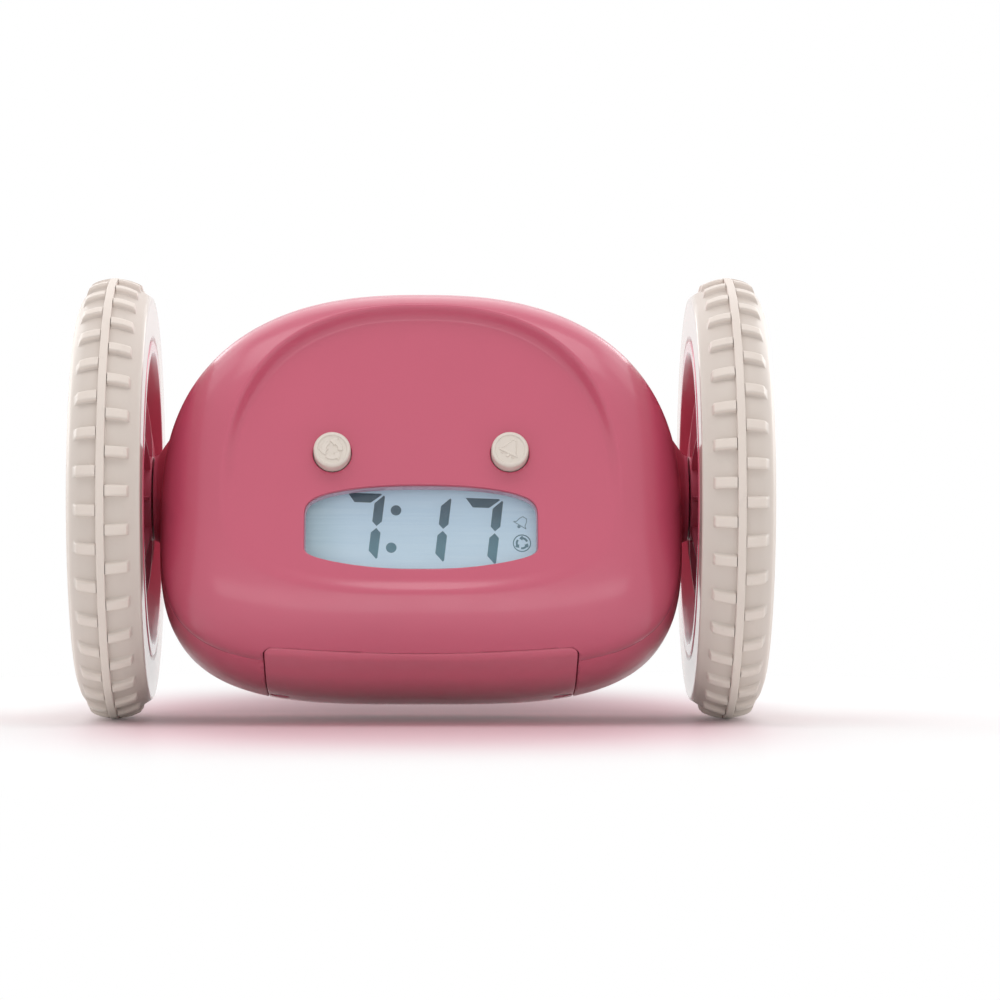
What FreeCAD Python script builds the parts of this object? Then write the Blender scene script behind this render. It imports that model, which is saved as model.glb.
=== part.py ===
import FreeCAD, Part, Sketcher
import math
import os

from FreeCAD import Placement, Rotation, Vector

# Two-wheeled runaway alarm clock: an egg-shaped clock body carried between two lugged wheels.
# Row frame: +X along the axle, the clock's face looks along -Y, +Z up,
# origin on the floor under the middle of the axle. Lengths are in millimetres.

doc = FreeCAD.newDocument("runaway_alarm_clock")

# ---------------------------------------------------------------- driving dimensions
DIMENSIONS = (
    ("wheel_radius", 44.0, "over the lugs; the axle is this high above the floor"),
    ("body_tilt", 10.0, "degrees that the clock body leans back about the axle"),
    ("body_half_width", 51.6, "body at the axle"),
    ("body_top", 39.7, "body above the axle, in the body's own frame"),
    ("body_bottom", 40.7, "body below the axle, in the body's own frame"),
    ("body_waist", 6.9, "widest level of the body below the axle"),
    ("body_back", 36.0, "axle to the back of the body"),
    ("parting_depth", 20.0, "axle to the joint between the two shells"),
    ("parting_half_width", 50.6, "body at the joint between the shells"),
    ("parting_top", 36.8, "body at the joint between the shells"),
    ("parting_bottom", 36.7, "body at the joint between the shells"),
    ("nose_length", 10.8, "joint between the shells to the foremost point"),
    ("wall", 2.2, "shell thickness"),
    ("face_radius", 360.0, "hollow of the face"),
    ("face_lean", 7.05, "degrees that the face leans back from the shells' joint"),
    ("face_depth", 27.04, "axle to the middle of the face"),
    ("face_drop", 3.0, "middle of the face below the axle"),
    ("window_half_width", 22.5, "display opening"),
    ("window_half_height", 8.6, "display opening"),
    ("window_drop", 7.4, "middle of the display opening below the middle of the face"),
    ("button_radius", 3.6, "round buttons on the face"),
    ("button_spacing", 34.4, "between the two face buttons"),
    ("button_rise", 7.2, "face buttons above the middle of the face"),
    ("button_proud", 2.7, "face buttons stand out of the face"),
    ("key_radius", 3.0, "setting keys at the back"),
    ("key_spacing", 12.0, "between the setting keys"),
    ("key_rise", 15.0, "setting keys above the axle"),
    ("cover_half_width", 30.4, "battery cover"),
    ("cover_top", 34.7, "battery cover's front edge below the axle"),
    ("cover_back", 24.0, "battery cover's back edge behind the axle"),
    ("seam", 0.3, "gap round the battery cover"),
    ("cell_radius", 5.25, "AAA cell"),
    ("cell_length", 44.5, "AAA cell with its nub"),
    ("cell_pitch", 10.6, "between the cells"),
    ("cell_drop", 28.9, "cells below the axle"),
    ("axle_radius", 2.0, "wheel shaft"),
    ("running_gap", 0.05, "radial clearance of a turning shaft"),
    ("collar_radius", 8.6, "boss on the body around the axle"),
    ("collar_end", 53.1, "middle of the clock to the end of that boss"),
    ("tyre_inner_side", 53.5, "middle of the clock to the tyre"),
    ("tyre_width", 14.5, "tyre along the axle"),
    ("tread_radius", 42.8, "tread between the lugs"),
    ("rim_radius", 31.6, "seat of the tyre on the wheel"),
    ("lug_count", 36, "lugs in each of the two rows"),
    ("lug_width", 2.2, "lug along the tread"),
    ("lug_length", 4.5, "lug along the axle"),
    ("rib_middle", 60.9, "middle of the clock to the rib between the two rows"),
    ("rib_width", 1.6, "rib between the two rows of lugs"),
    ("gear_module", 0.5, "all gears"),
    ("motor_length", 25.0, "motor case"),
    ("motor_width", 20.0, "motor case over its round sides"),
    ("motor_height", 15.0, "motor case over its flats"),
    ("motor_back", 8.0, "motor behind the axle"),
    ("motor_drop", 12.0, "motor below the axle"),
)
sheet = doc.addObject("Spreadsheet::Sheet", "dimensions")
for row, (alias, value, note) in enumerate(DIMENSIONS, start=1):
    sheet.set(f"A{row}", alias)
    sheet.set(f"B{row}", str(value))
    sheet.setAlias(f"B{row}", alias)
    sheet.set(f"C{row}", note)
doc.recompute()


class Size:
    """A length that remembers the spreadsheet formula it comes from."""

    def __init__(self, value, formula):
        self.value = float(value)
        self.formula = formula

    def __add__(self, other):
        other = as_size(other)
        return Size(self.value + other.value, f"({self.formula} + {other.formula})")

    def __sub__(self, other):
        other = as_size(other)
        return Size(self.value - other.value, f"({self.formula} - {other.formula})")

    def __mul__(self, other):
        other = as_size(other)
        return Size(self.value * other.value, f"({self.formula} * {other.formula})")

    def __truediv__(self, other):
        other = as_size(other)
        return Size(self.value / other.value, f"({self.formula} / {other.formula})")

    def __neg__(self):
        return Size(-self.value, f"(-1 * {self.formula})")

    def __radd__(self, other):
        return as_size(other) + self

    def __rsub__(self, other):
        return as_size(other) - self

    def __rmul__(self, other):
        return as_size(other) * self

    def __float__(self):
        return self.value


def as_size(number):
    if isinstance(number, Size):
        return number
    return Size(number, f"({float(number):.6g})")


def dim(alias):
    return Size(sheet.get(alias), f"dimensions.{alias}")


# ---------------------------------------------------------------- frames
AXLE_HEIGHT = float(dim("wheel_radius"))
TILT = math.radians(float(dim("body_tilt")))
X_AXIS, Y_AXIS, Z_AXIS = Vector(1, 0, 0), Vector(0, 1, 0), Vector(0, 0, 1)

# The clock body leans back about the axle. In its own frame the axle is at the origin,
# +Y runs to the back and the joint between the shells is a plane of constant Y.
BODY = Placement(Vector(0, 0, AXLE_HEIGHT), Rotation(X_AXIS, -float(dim("body_tilt"))))
# The face frame touches the hollow of the face; +Y runs into the clock.
FACE_MIDDLE = Vector(0, -float(dim("face_depth")), -float(dim("face_drop")))
FACE = BODY * Placement(FACE_MIDDLE, Rotation(X_AXIS, -float(dim("face_lean"))))


def drive_frame(side):
    """Frame of one side's gear train: +Z runs outwards along the axle, +Y to the back."""
    return BODY * Placement(Vector(), Rotation(Y_AXIS, 90 * side))


def wheel_frame(side):
    """Frame of one wheel: +Z runs outwards along the axle."""
    return Placement(Vector(0, 0, AXLE_HEIGHT), Rotation(Y_AXIS, 90 * side))


def drive_point(side, back, up):
    """A point of the gear train, given behind and above the axle, in its drive frame."""
    return -side * up, back


# ---------------------------------------------------------------- small building blocks
pieces = []


def piece(made, label):
    """Names a finished sub-part and puts it on the list of what is written."""
    made.Label = label
    pieces.append(made)
    return made


def bind(target, name, size):
    size = as_size(size)
    whole = isinstance(getattr(target, name), int)
    setattr(target, name, round(size.value) if whole else size.value)
    if "dimensions." in size.formula:
        target.setExpression(name, size.formula)


def turned(direction):
    return Rotation(Z_AXIS, Vector(*direction))


def cylinder(name, radius, length, frame, at=(0, 0, 0), along=(0, 0, 1)):
    made = doc.addObject("Part::Cylinder", name)
    bind(made, "Radius", radius)
    bind(made, "Height", length)
    place = Vector(*[float(as_size(c)) for c in at])
    made.Placement = frame * Placement(place, turned(along))
    return made


def cone(name, radius_low, radius_high, length, frame, at=(0, 0, 0), along=(0, 0, 1)):
    made = doc.addObject("Part::Cone", name)
    bind(made, "Radius1", radius_low)
    bind(made, "Radius2", radius_high)
    bind(made, "Height", length)
    place = Vector(*[float(as_size(c)) for c in at])
    made.Placement = frame * Placement(place, turned(along))
    return made


def box(name, low, high, frame):
    """A box between two corners; its sides follow the corners' sizes."""
    low, high = [as_size(c) for c in low], [as_size(c) for c in high]
    made = doc.addObject("Part::Box", name)
    for side_name, low_size, high_size in zip(("Length", "Width", "Height"), low, high):
        bind(made, side_name, high_size - low_size)
    made.Placement = frame * Placement(Vector(*[c.value for c in low]), Rotation())
    return made


def fuse(name, *parts):
    made = doc.addObject("Part::MultiFuse", name)
    made.Shapes = list(parts)
    return made


def common(name, *parts):
    made = doc.addObject("Part::MultiCommon", name)
    made.Shapes = list(parts)
    return made


def cut(name, base, *tools):
    made = doc.addObject("Part::Cut", name)
    made.Base = base
    made.Tool = tools[0] if len(tools) == 1 else fuse(name + "_tools", *tools)
    return made


def group(name, *parts):
    """Separate solids of one node, such as a set of screws."""
    made = doc.addObject("Part::Compound", name)
    made.Links = list(parts)
    return made


def ring(name, outer, inner, length, frame, at=(0, 0, 0), along=(0, 0, 1)):
    rod = cylinder(name + "_rod", outer, length, frame, at, along)
    hole = cylinder(name + "_hole", inner, length, frame, at, along)
    return cut(name, rod, hole)


def feature(name, shape, frame):
    made = doc.addObject("Part::Feature", name)
    made.Shape = shape
    made.Placement = frame
    return made


def origin_plane(body, role):
    return next(f for f in body.Origin.OriginFeatures if f.Role == role)


def polygon_sketch(body, name, role, corners):
    """A closed polygon on one of the body's origin planes, each corner set by two lengths."""
    sketch = body.newObject("Sketcher::SketchObject", name)
    sketch.AttachmentSupport = [(origin_plane(body, role), "")]
    sketch.MapMode = "FlatFace"
    corners = [(as_size(u), as_size(v)) for u, v in corners]
    points = [Vector(u.value, v.value, 0) for u, v in corners]
    count = len(points)
    for i in range(count):
        sketch.addGeometry(Part.LineSegment(points[i], points[(i + 1) % count]), False)
    for i in range(count):
        sketch.addConstraint(make_constraint("Coincident", i, 2, (i + 1) % count, 1))
    for i, corner in enumerate(corners):
        for word, axis, size in zip(("DistanceX", "DistanceY"), (-2, -1), corner):
            if size.value == 0:
                sketch.addConstraint(make_constraint("PointOnObject", i, 1, axis))
                continue
            number = sketch.addConstraint(make_constraint(word, i, 1, size.value))
            if "dimensions." in size.formula:
                sketch.setExpression(f"Constraints[{number}]", size.formula)
    return sketch


def make_constraint(*words):
    return Sketcher.Constraint(*words)


def revolved(name, frame, corners):
    """A body turned about its own Z axis from corners given as radius and height."""
    body = doc.addObject("PartDesign::Body", name)
    sketch = polygon_sketch(body, name + "_profile", "XZ_Plane", corners)
    turn = body.newObject("PartDesign::Revolution", name + "_turn")
    turn.Profile = sketch
    turn.ReferenceAxis = (sketch, ["V_Axis"])
    turn.Angle = 360
    body.Placement = frame
    return body


def padded(name, frame, corners, thickness, role="XY_Plane"):
    """A body padded from a polygon on one of its origin planes."""
    body = doc.addObject("PartDesign::Body", name)
    sketch = polygon_sketch(body, name + "_outline", role, corners)
    pad = body.newObject("PartDesign::Pad", name + "_pad")
    pad.Profile = sketch
    bind(pad, "Length", thickness)
    body.Placement = frame
    return body


# ---------------------------------------------------------------- the egg-shaped hull
UPPER_POWER = 2.48  # superellipse power of the body's upper outline
LOWER_POWER = 3.5  # the same below the axle, at the axle
PARTING_LOWER_POWER = 3.8  # and at the joint between the shells
BACK_POWER = 2.6  # how full the back dome is
SWELL_POWER = 2.4  # how the outline swells from the shells' joint to the axle
NOSE_POWER = 6.0  # how flat the nose is before it rounds off
HULL_POINTS = 56  # points of each closed outline
BACK_STATIONS = (0, 0.2, 0.4, 0.6, 0.8, 1.0)  # from the shells' joint to the axle
DOME_STATIONS = (0.2, 0.4, 0.56, 0.7, 0.81, 0.89, 0.945, 0.98, 0.995)  # axle to back
NOSE_STATIONS = (0.985, 0.93, 0.84, 0.72, 0.56, 0.38, 0.18)  # foremost point to the joint


def swell(share, at_joint, at_axle):
    """Half size between the shells' joint (share 0) and the axle (share 1)."""
    reach = (1 - (at_joint / at_axle) ** SWELL_POWER) ** (1 / SWELL_POWER)
    return at_axle * (1 - (reach * (1 - share)) ** SWELL_POWER) ** (1 / SWELL_POWER)


def outline(half_width, top, bottom, lower_power, y, middle_up=0.0, upper_power=UPPER_POWER):
    """A closed superellipse across the body, with its own power above and below."""
    points = []
    for i in range(HULL_POINTS):
        angle = 2 * math.pi * i / HULL_POINTS
        across, up = math.cos(angle), math.sin(angle)
        height, power = (top, upper_power) if up >= 0 else (bottom, lower_power)
        reach = (abs(across / half_width) ** power + abs(up / height) ** power) ** (-1 / power)
        points.append(Vector(reach * across, y, middle_up + reach * up))
    curve = Part.BSplineCurve()
    curve.interpolate(Points=points, PeriodicFlag=True)
    return Part.Wire([curve.toShape()])


def hull(inset):
    """The whole body as one solid in the body frame, shrunk by inset all round."""
    joint_y = -float(dim("parting_depth"))
    waist = float(dim("body_waist"))
    raised = (0, waist, -waist)  # heights are measured from the widest level
    names = ("body_half_width", "body_top", "body_bottom")
    axle = [float(dim(n)) + more - inset for n, more in zip(names, raised)]
    names = ("parting_half_width", "parting_top", "parting_bottom")
    joint = [float(dim(n)) + more - inset for n, more in zip(names, raised)]
    nose = float(dim("nose_length")) - inset
    back = float(dim("body_back")) - inset
    sections = []
    for share in NOSE_STATIONS:
        scale = (1 - share**2) ** (1 / NOSE_POWER)
        sizes = [scale * size for size in joint]
        sections.append(outline(*sizes, PARTING_LOWER_POWER, joint_y - nose * share, -waist))
    for share in BACK_STATIONS:
        sizes = [swell(share, j, a) for j, a in zip(joint, axle)]
        power = PARTING_LOWER_POWER + share * (LOWER_POWER - PARTING_LOWER_POWER)
        sections.append(outline(*sizes, power, joint_y * (1 - share), -waist))
    for share in DOME_STATIONS:
        scale = (1 - share**BACK_POWER) ** (1 / BACK_POWER)
        sizes = [scale * size for size in axle]
        sections.append(outline(*sizes, LOWER_POWER, back * share, -waist))
    return Part.makeLoft(sections, True, False)


wall = dim("wall")
far = 80.0  # beyond every outer surface of the clock
outer_hull = hull(0.0)
inner_hull = hull(float(wall))
parting_y = -dim("parting_depth")
sphere_up = float(dim("face_radius")) * math.sin(math.radians(float(dim("face_lean"))))
sphere_out = float(dim("face_radius")) * math.cos(math.radians(float(dim("face_lean"))))
FACE_CENTRE = FACE_MIDDLE + Vector(0, -sphere_out, sphere_up)


def face_ball(name, extra):
    """The ball whose surface is the hollow face, grown by extra."""
    made = doc.addObject("Part::Sphere", name)
    bind(made, "Radius", dim("face_radius") + extra)
    made.Placement = BODY * Placement(FACE_CENTRE, Rotation())
    return made


# The face is a D-shaped hollow whose rim stands proud at the top and fades out at the chin.
FACE_OUTLINE = {"half_width": 38.6, "top": 39.6, "bottom": 17.6, "middle_up": -6.0}
FACE_UPPER_POWER = 2.4
FACE_LOWER_POWER = 2.8
FACE_DRAFT = 0.36  # outward lean of the hollow's wall
FACE_DRAFT_FROM = 26.0  # depth at which the outline has its stated size


def face_outline(depth):
    grown = FACE_DRAFT * (depth - FACE_DRAFT_FROM)
    return outline(
        FACE_OUTLINE["half_width"] + grown,
        FACE_OUTLINE["top"] + grown,
        FACE_OUTLINE["bottom"] + grown,
        FACE_LOWER_POWER,
        -depth,
        FACE_OUTLINE["middle_up"],
        FACE_UPPER_POWER,
    )


face_plug = Part.makeLoft([face_outline(21.0), face_outline(36.0)], True, True)
face_hollow = common("face_hollow", feature("face_plug", face_plug, BODY), face_ball("face_ball", 0))

cavity = cut(
    "cavity", feature("cavity_hull", inner_hull, BODY), face_ball("face_back_ball", wall)
)

# ---------------------------------------------------------------- battery cover
cover_x, cover_z, cover_y = dim("cover_half_width"), dim("cover_top"), dim("cover_back")
seam = dim("seam")
COVER_SPLIT = 2.0  # the cover's front edge is level before this depth


def cover_prism(name, gap):
    """The space that the cover takes out of the hull's wall, grown by gap."""
    front = box(
        name + "_front",
        (-cover_x - gap, -far, -far),
        (cover_x + gap, COVER_SPLIT, -cover_z + gap),
        BODY,
    )
    back = box(
        name + "_back",
        (-cover_x - gap, 0, -far),
        (cover_x + gap, cover_y + gap, -26),
        BODY,
    )
    return fuse(name, front, back)


COVER_SCREW_X = 28.0
COVER_SCREW_Y = 2.0
COVER_SCREW_HEAD = -38.2  # underside of the screw heads, in the body frame
cover_skin = cut(
    "cover_skin", feature("cover_hull", outer_hull, BODY), feature("cover_inner", inner_hull, BODY)
)
cover_blank = common("cover_blank", cover_skin, cover_prism("cover_prism", 0))
cover_cuts = []
for side in (-1, 1):
    at = (side * COVER_SCREW_X, COVER_SCREW_Y, -far)
    cover_cuts.append(cylinder("cover_screw_hole", 1.2, far, BODY, at))
    cover_cuts.append(cylinder("cover_head_hole", 2.1, far + COVER_SCREW_HEAD, BODY, at))
battery_cover = piece(cut("battery_cover", cover_blank, *cover_cuts), "battery_cover")

cover_screws = []
for side in (-1, 1):
    foot = (side * COVER_SCREW_X, COVER_SCREW_Y, COVER_SCREW_HEAD)
    shank = cylinder("cover_screw_shank", 1.0, 9.0, BODY, foot)
    head_at = (foot[0], foot[1], COVER_SCREW_HEAD - 0.9)
    head = cone("cover_screw_head", 1.5, 1.9, 0.9, BODY, head_at)
    cover_screws.append(fuse("cover_screw", shank, head))
piece(group("cover_screws", *cover_screws), "cover_screws")

# ---------------------------------------------------------------- shells
HOUSING_SCREWS = ((38.0, 16.0), (41.0, -20.5))  # beside and above the axle, both sides
POST_RADIUS = 3.5
SCREW_HEAD_Y = -8.0
TRAY_POSTS = ((35.0, -11.0), (35.0, 14.0))
TRAY_TOP = -21.9
TRAY_PLATE = 1.5
BOARD_BOSSES = ((29.0, 22.5), (29.0, -13.0))  # across and up, in the face frame
BOARD_FRONT = 8.2  # main board behind the face
LENS_FRONT = 2.6  # window lens behind the face
SPEAKER_UP = -float(dim("body_waist"))
SPEAKER_RADIUS = 14.0
SPEAKER_BACK = 30.8
KEY_BOARD_FRONT = 24.3
KEY_BOARD_BACK = 25.9
collar_radius, collar_end = dim("collar_radius"), dim("collar_end")
bushing_radius = dim("axle_radius") + 2.0


def window_prism(name, grown, front, back):
    """The display opening's outline carried through the face."""
    wires = []
    for depth in (front, back):
        wires.append(
            outline(
                float(dim("window_half_width")) + grown,
                float(dim("window_half_height")) + grown,
                float(dim("window_half_height")) + grown,
                WINDOW_POWER,
                depth,
                -float(dim("window_drop")),
                WINDOW_POWER,
            )
        )
    return feature(name, Part.makeLoft(wires, True, True), FACE)


WINDOW_POWER = 3.1
button_x = dim("button_spacing") / 2
button_up = dim("button_rise")
BUTTONS = (("cycle", -button_x), ("alarm", button_x))
INTO_FACE = (0, 1, 0)  # the face frame's +Y runs into the clock

front_half = box("front_half", (-far, -far, -far), (far, parting_y, far), BODY)
front_blank = common("front_blank", feature("front_hull", outer_hull, BODY), front_half)
front_skin = cut("front_skin", front_blank, cavity, face_hollow)

# Bosses for the housing screws and the main board, and the pad around the window.
front_adds = [front_skin]
front_cuts = [cover_prism("front_notch", seam)]
for side in (-1, 1):
    for across, up in HOUSING_SCREWS:
        at = (side * across, parting_y, up)
        front_adds.append(
            common(
                "front_post",
                feature("front_post_hull", outer_hull, BODY),
                cylinder("front_post_rod", POST_RADIUS, 7.0, BODY, at, (0, -1, 0)),
            )
        )
        front_cuts.append(cylinder("front_post_hole", 1.2, 5.0, BODY, at, (0, -1, 0)))
    for across, up in BOARD_BOSSES:
        at = (side * across, BOARD_FRONT, up)
        front_adds.append(
            cylinder("board_boss", 2.6, BOARD_FRONT - 0.4, FACE, at, (0, -1, 0))
        )
        front_cuts.append(cylinder("board_boss_hole", 0.9, 5.0, FACE, at, (0, -1, 0)))
pad_low = (-dim("window_half_width") - 2.5, 1.0, -dim("window_drop") - 10.4)
pad_high = (dim("window_half_width") + 2.5, LENS_FRONT, -dim("window_drop") + 9.5)
front_adds.append(box("window_pad", pad_low, pad_high, FACE))
front_cuts.append(window_prism("window_opening", 0.0, -6.0, LENS_FRONT + 1.0))
for name, across in BUTTONS:
    at = (across, -6.0, button_up)
    bore_radius = dim("button_radius") + 0.15
    front_cuts.append(cylinder(name + "_bore", bore_radius, 9.0, FACE, at, INTO_FACE))
    flange_at = (across, 1.75, button_up)
    flange_room = cylinder(name + "_flange_room", 4.5, 4.0, FACE, flange_at, INTO_FACE)
    front_cuts.append(flange_room)
front_body = fuse("front_body", *front_adds)
piece(cut("front_shell", front_body, *front_cuts), "front_shell")

back_half = box("back_half", (-far, parting_y, -far), (far, far, far), BODY)
back_blank = common("back_blank", feature("back_hull", outer_hull, BODY), back_half)
# The body swells into a short cone around each collar.
collar_start = collar_end - 5.6
flares = []
for side in (-1, 1):
    flares.append(
        cone("collar_flare", 13.6, 9.2, 4.4, drive_frame(side), (0, 0, float(collar_start)))
    )
back_flared = fuse("back_flared", back_blank, *flares)
back_adds = [cut("back_skin", back_flared, feature("back_cavity", inner_hull, BODY))]
back_cuts = [cover_prism("back_notch", seam)]
for side in (-1, 1):
    for across, up in HOUSING_SCREWS:
        at = (side * across, parting_y, up)
        post = cylinder("back_post_rod", POST_RADIUS, far, BODY, at, (0, 1, 0))
        back_adds.append(
            common("back_post", feature("back_post_hull", outer_hull, BODY), post)
        )
        back_cuts.append(cylinder("back_post_hole", 1.45, far, BODY, at, (0, 1, 0)))
        head_at = (side * across, SCREW_HEAD_Y, up)
        back_cuts.append(cylinder("back_head_hole", 2.7, far, BODY, head_at, (0, 1, 0)))
    for across, depth in TRAY_POSTS:
        at = (side * across, depth, TRAY_TOP - TRAY_PLATE)
        post = cylinder("tray_post_rod", 2.2, 30.0, BODY, at, (0, 0, -1))
        back_adds.append(
            common("tray_post", feature("tray_post_hull", outer_hull, BODY), post)
        )
    frame = drive_frame(side)
    back_adds.append(cylinder("collar", collar_radius, 5.6, frame, (0, 0, collar_start)))
    back_cuts.append(cylinder("collar_bore", bushing_radius, 12.0, frame, (0, 0, 42.0)))
speaker_ring_at = (0, SPEAKER_BACK, SPEAKER_UP)
speaker_ring = cut(
    "speaker_ring",
    common(
        "speaker_seat",
        feature("speaker_seat_hull", outer_hull, BODY),
        cylinder("speaker_rod", SPEAKER_RADIUS, 10.0, BODY, speaker_ring_at, (0, 1, 0)),
    ),
    cylinder("speaker_room", SPEAKER_RADIUS - 1.6, 2.2, BODY, speaker_ring_at, (0, 1, 0)),
)
back_adds.append(speaker_ring)
GRILLE_PITCH = 3.6
GRILLE_RINGS = 3
back_cuts.append(cylinder("grille_hole", 0.9, far, BODY, (0, 28.0, SPEAKER_UP), (0, 1, 0)))
for ring_number in range(1, GRILLE_RINGS + 1):
    holes = 6 * ring_number
    for i in range(holes):
        angle = 2 * math.pi * i / holes
        reach = GRILLE_PITCH * ring_number
        at = (reach * math.cos(angle), 28.0, SPEAKER_UP + reach * math.sin(angle))
        back_cuts.append(cylinder("grille_hole", 0.9, far, BODY, at, (0, 1, 0)))
KEYS = (("hour", -1), ("minute", 0), ("set", 1))
key_up = dim("key_rise")
for name, step in KEYS:
    at = (dim("key_spacing") * step, 30.0, key_up)
    bore_radius = dim("key_radius") + 0.15
    back_cuts.append(cylinder(name + "_bore", bore_radius, far, BODY, at, (0, 1, 0)))
for side in (-1, 1):
    at = (side * 19.5, KEY_BOARD_BACK, float(key_up))
    back_adds.append(
        common(
            "key_board_post",
            feature("key_board_post_hull", outer_hull, BODY),
            cylinder("key_board_post_rod", 1.8, 12.0, BODY, at, (0, 1, 0)),
        )
    )
back_body = fuse("back_body", *back_adds)
piece(cut("rear_shell", back_body, *back_cuts), "rear_shell")

housing_screws = []
for side in (-1, 1):
    for across, up in HOUSING_SCREWS:
        at = (side * across, SCREW_HEAD_Y, up)
        shank = cylinder("housing_shank", 1.2, 16.0, BODY, at, (0, -1, 0))
        head = cylinder("housing_head", 2.4, 1.6, BODY, at, (0, 1, 0))
        slot_at = (side * across, SCREW_HEAD_Y + 0.8, up)
        slots = []
        for half in ((1.6, 0.25), (0.25, 1.6)):
            low = (slot_at[0] - half[0], slot_at[1], up - half[1])
            high = (slot_at[0] + half[0], slot_at[1] + 2.0, up + half[1])
            slots.append(box("housing_slot", low, high, BODY))
        screw = fuse("housing_screw_blank", shank, head)
        housing_screws.append(cut("housing_screw", screw, *slots))
piece(group("housing_screws", *housing_screws), "housing_screws")

# ---------------------------------------------------------------- display and main board
PANEL_FRONT = 3.9
PANEL_THICKNESS = 1.9
GUIDE_FRONT = 5.9
display_middle = -dim("window_drop")


def face_plate(name, half_width, low, high, front, thickness):
    corners_low = (-half_width, front, display_middle + low)
    corners_high = (half_width, front + thickness, display_middle + high)
    return box(name, corners_low, corners_high, FACE)


piece(face_plate("lcd_lens", 24.5, -9.9, 9.3, LENS_FRONT, 1.2), "lcd_lens")
piece(face_plate("lcd_panel", 24.5, -10.6, 9.3, PANEL_FRONT, PANEL_THICKNESS), "lcd_panel")
piece(face_plate("light_guide", 23.5, -7.2, 9.0, GUIDE_FRONT, 2.0), "light_guide")
connector_low = (-22.0, PANEL_FRONT + PANEL_THICKNESS, display_middle - 9.7)
connector_high = (22.0, BOARD_FRONT, display_middle - 7.5)
piece(box("lcd_connector", connector_low, connector_high, FACE), "lcd_connector")

BOARD_CORNERS = (
    (-33, -17.2),
    (33, -17.2),
    (33, 16.0),
    (24, 26.5),
    (-24, 26.5),
    (-33, 16.0),
)


def board_body():
    """The main board, padded towards the back of the clock, with its screw holes."""
    mirrored = FACE * Placement(Vector(0, BOARD_FRONT + 1.6, 0), Rotation(X_AXIS, 90))
    blank = padded("main_board_blank", mirrored, BOARD_CORNERS, 1.6)
    holes = []
    for side in (-1, 1):
        for across, up in BOARD_BOSSES:
            at = (side * across, 0, up)
            holes.append(cylinder("main_board_hole", 1.1, 30.0, FACE, at, INTO_FACE))
    return cut("main_board", blank, *holes)


piece(board_body(), "main_board")
BOARD_BACK = BOARD_FRONT + 1.6
chip_low, chip_high = (-6.0, BOARD_BACK, 2.0), (6.0, BOARD_BACK + 1.5, 14.0)
piece(box("control_chip", chip_low, chip_high, FACE), "control_chip")
crystal_at = (12.0, BOARD_BACK + 1.0, 4.0)
piece(cylinder("quartz_crystal", 1.0, 6.0, FACE, crystal_at), "quartz_crystal")

board_screws = []
for side in (-1, 1):
    for across, up in BOARD_BOSSES:
        at = (side * across, BOARD_BACK, up)
        shank = cylinder("board_shank", 0.9, 6.0, FACE, at, (0, -1, 0))
        head = cylinder("board_head", 1.9, 1.2, FACE, at, (0, 1, 0))
        board_screws.append(fuse("board_screw", shank, head))
piece(group("board_screws", *board_screws), "board_screws")

# ---------------------------------------------------------------- face buttons
FLANGE_FRONT = 2.05
FLANGE_BACK = 2.9
STEM_END = 6.7
button_radius = dim("button_radius")
for name, across in BUTTONS:
    label = name + "_button"
    rise = dim("button_proud") + (across * across + button_up * button_up) / (
        dim("face_radius") * 2
    )
    at = FACE * Placement(
        Vector(float(across), FLANGE_BACK, float(button_up)), turned((0, -1, 0))
    )
    cap_height = rise + FLANGE_BACK
    profile = (
        (0, -(STEM_END - FLANGE_BACK)),
        (1.6, -(STEM_END - FLANGE_BACK)),
        (1.6, 0),
        (4.2, 0),
        (4.2, FLANGE_BACK - FLANGE_FRONT),
        (button_radius, FLANGE_BACK - FLANGE_FRONT),
        (button_radius, cap_height - 0.5),
        (button_radius - 0.5, cap_height),
        (0, cap_height),
    )
    piece(revolved(label, at, profile), label)
    dome_at = FACE * Placement(
        Vector(float(across), BOARD_FRONT, float(button_up)), turned((0, -1, 0))
    )
    dome_height = BOARD_FRONT - STEM_END
    dome_profile = (
        (0, dome_height - 0.5),
        (2.6, 0),
        (3.4, 0),
        (3.4, 0.4),
        (1.7, dome_height),
        (0, dome_height),
    )
    piece(revolved(name + "_dome", dome_at, dome_profile), name + "_dome")

# ---------------------------------------------------------------- setting keys at the back
KEY_TRAVEL = 0.7
key_board_low = (-21.5, KEY_BOARD_FRONT, key_up - 6.0)
key_board_high = (21.5, KEY_BOARD_BACK, key_up + 6.0)
piece(box("key_board", key_board_low, key_board_high, BODY), "key_board")
PAD_THICKNESS = 0.6
pad_low = (-17.0, KEY_BOARD_BACK, key_up - 4.5)
pad_high = (17.0, KEY_BOARD_BACK + PAD_THICKNESS, key_up + 4.5)
piece(box("key_pad", pad_low, pad_high, BODY), "key_pad")
KEY_FOOT = KEY_BOARD_BACK + PAD_THICKNESS + KEY_TRAVEL + 0.05
KEY_TOP = 35.0
KEY_FLANGE = 1.0
for name, step in KEYS:
    at = BODY * Placement(
        Vector(float(dim("key_spacing")) * step, KEY_FOOT, float(key_up)), turned((0, 1, 0))
    )
    key_radius = dim("key_radius")
    profile = (
        (0, 0),
        (3.7, 0),
        (3.7, KEY_FLANGE),
        (key_radius, KEY_FLANGE),
        (key_radius, KEY_TOP - KEY_FOOT - 0.4),
        (key_radius - 0.4, KEY_TOP - KEY_FOOT),
        (0, KEY_TOP - KEY_FOOT),
    )
    piece(revolved(name + "_key", at, profile), name + "_key")

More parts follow.
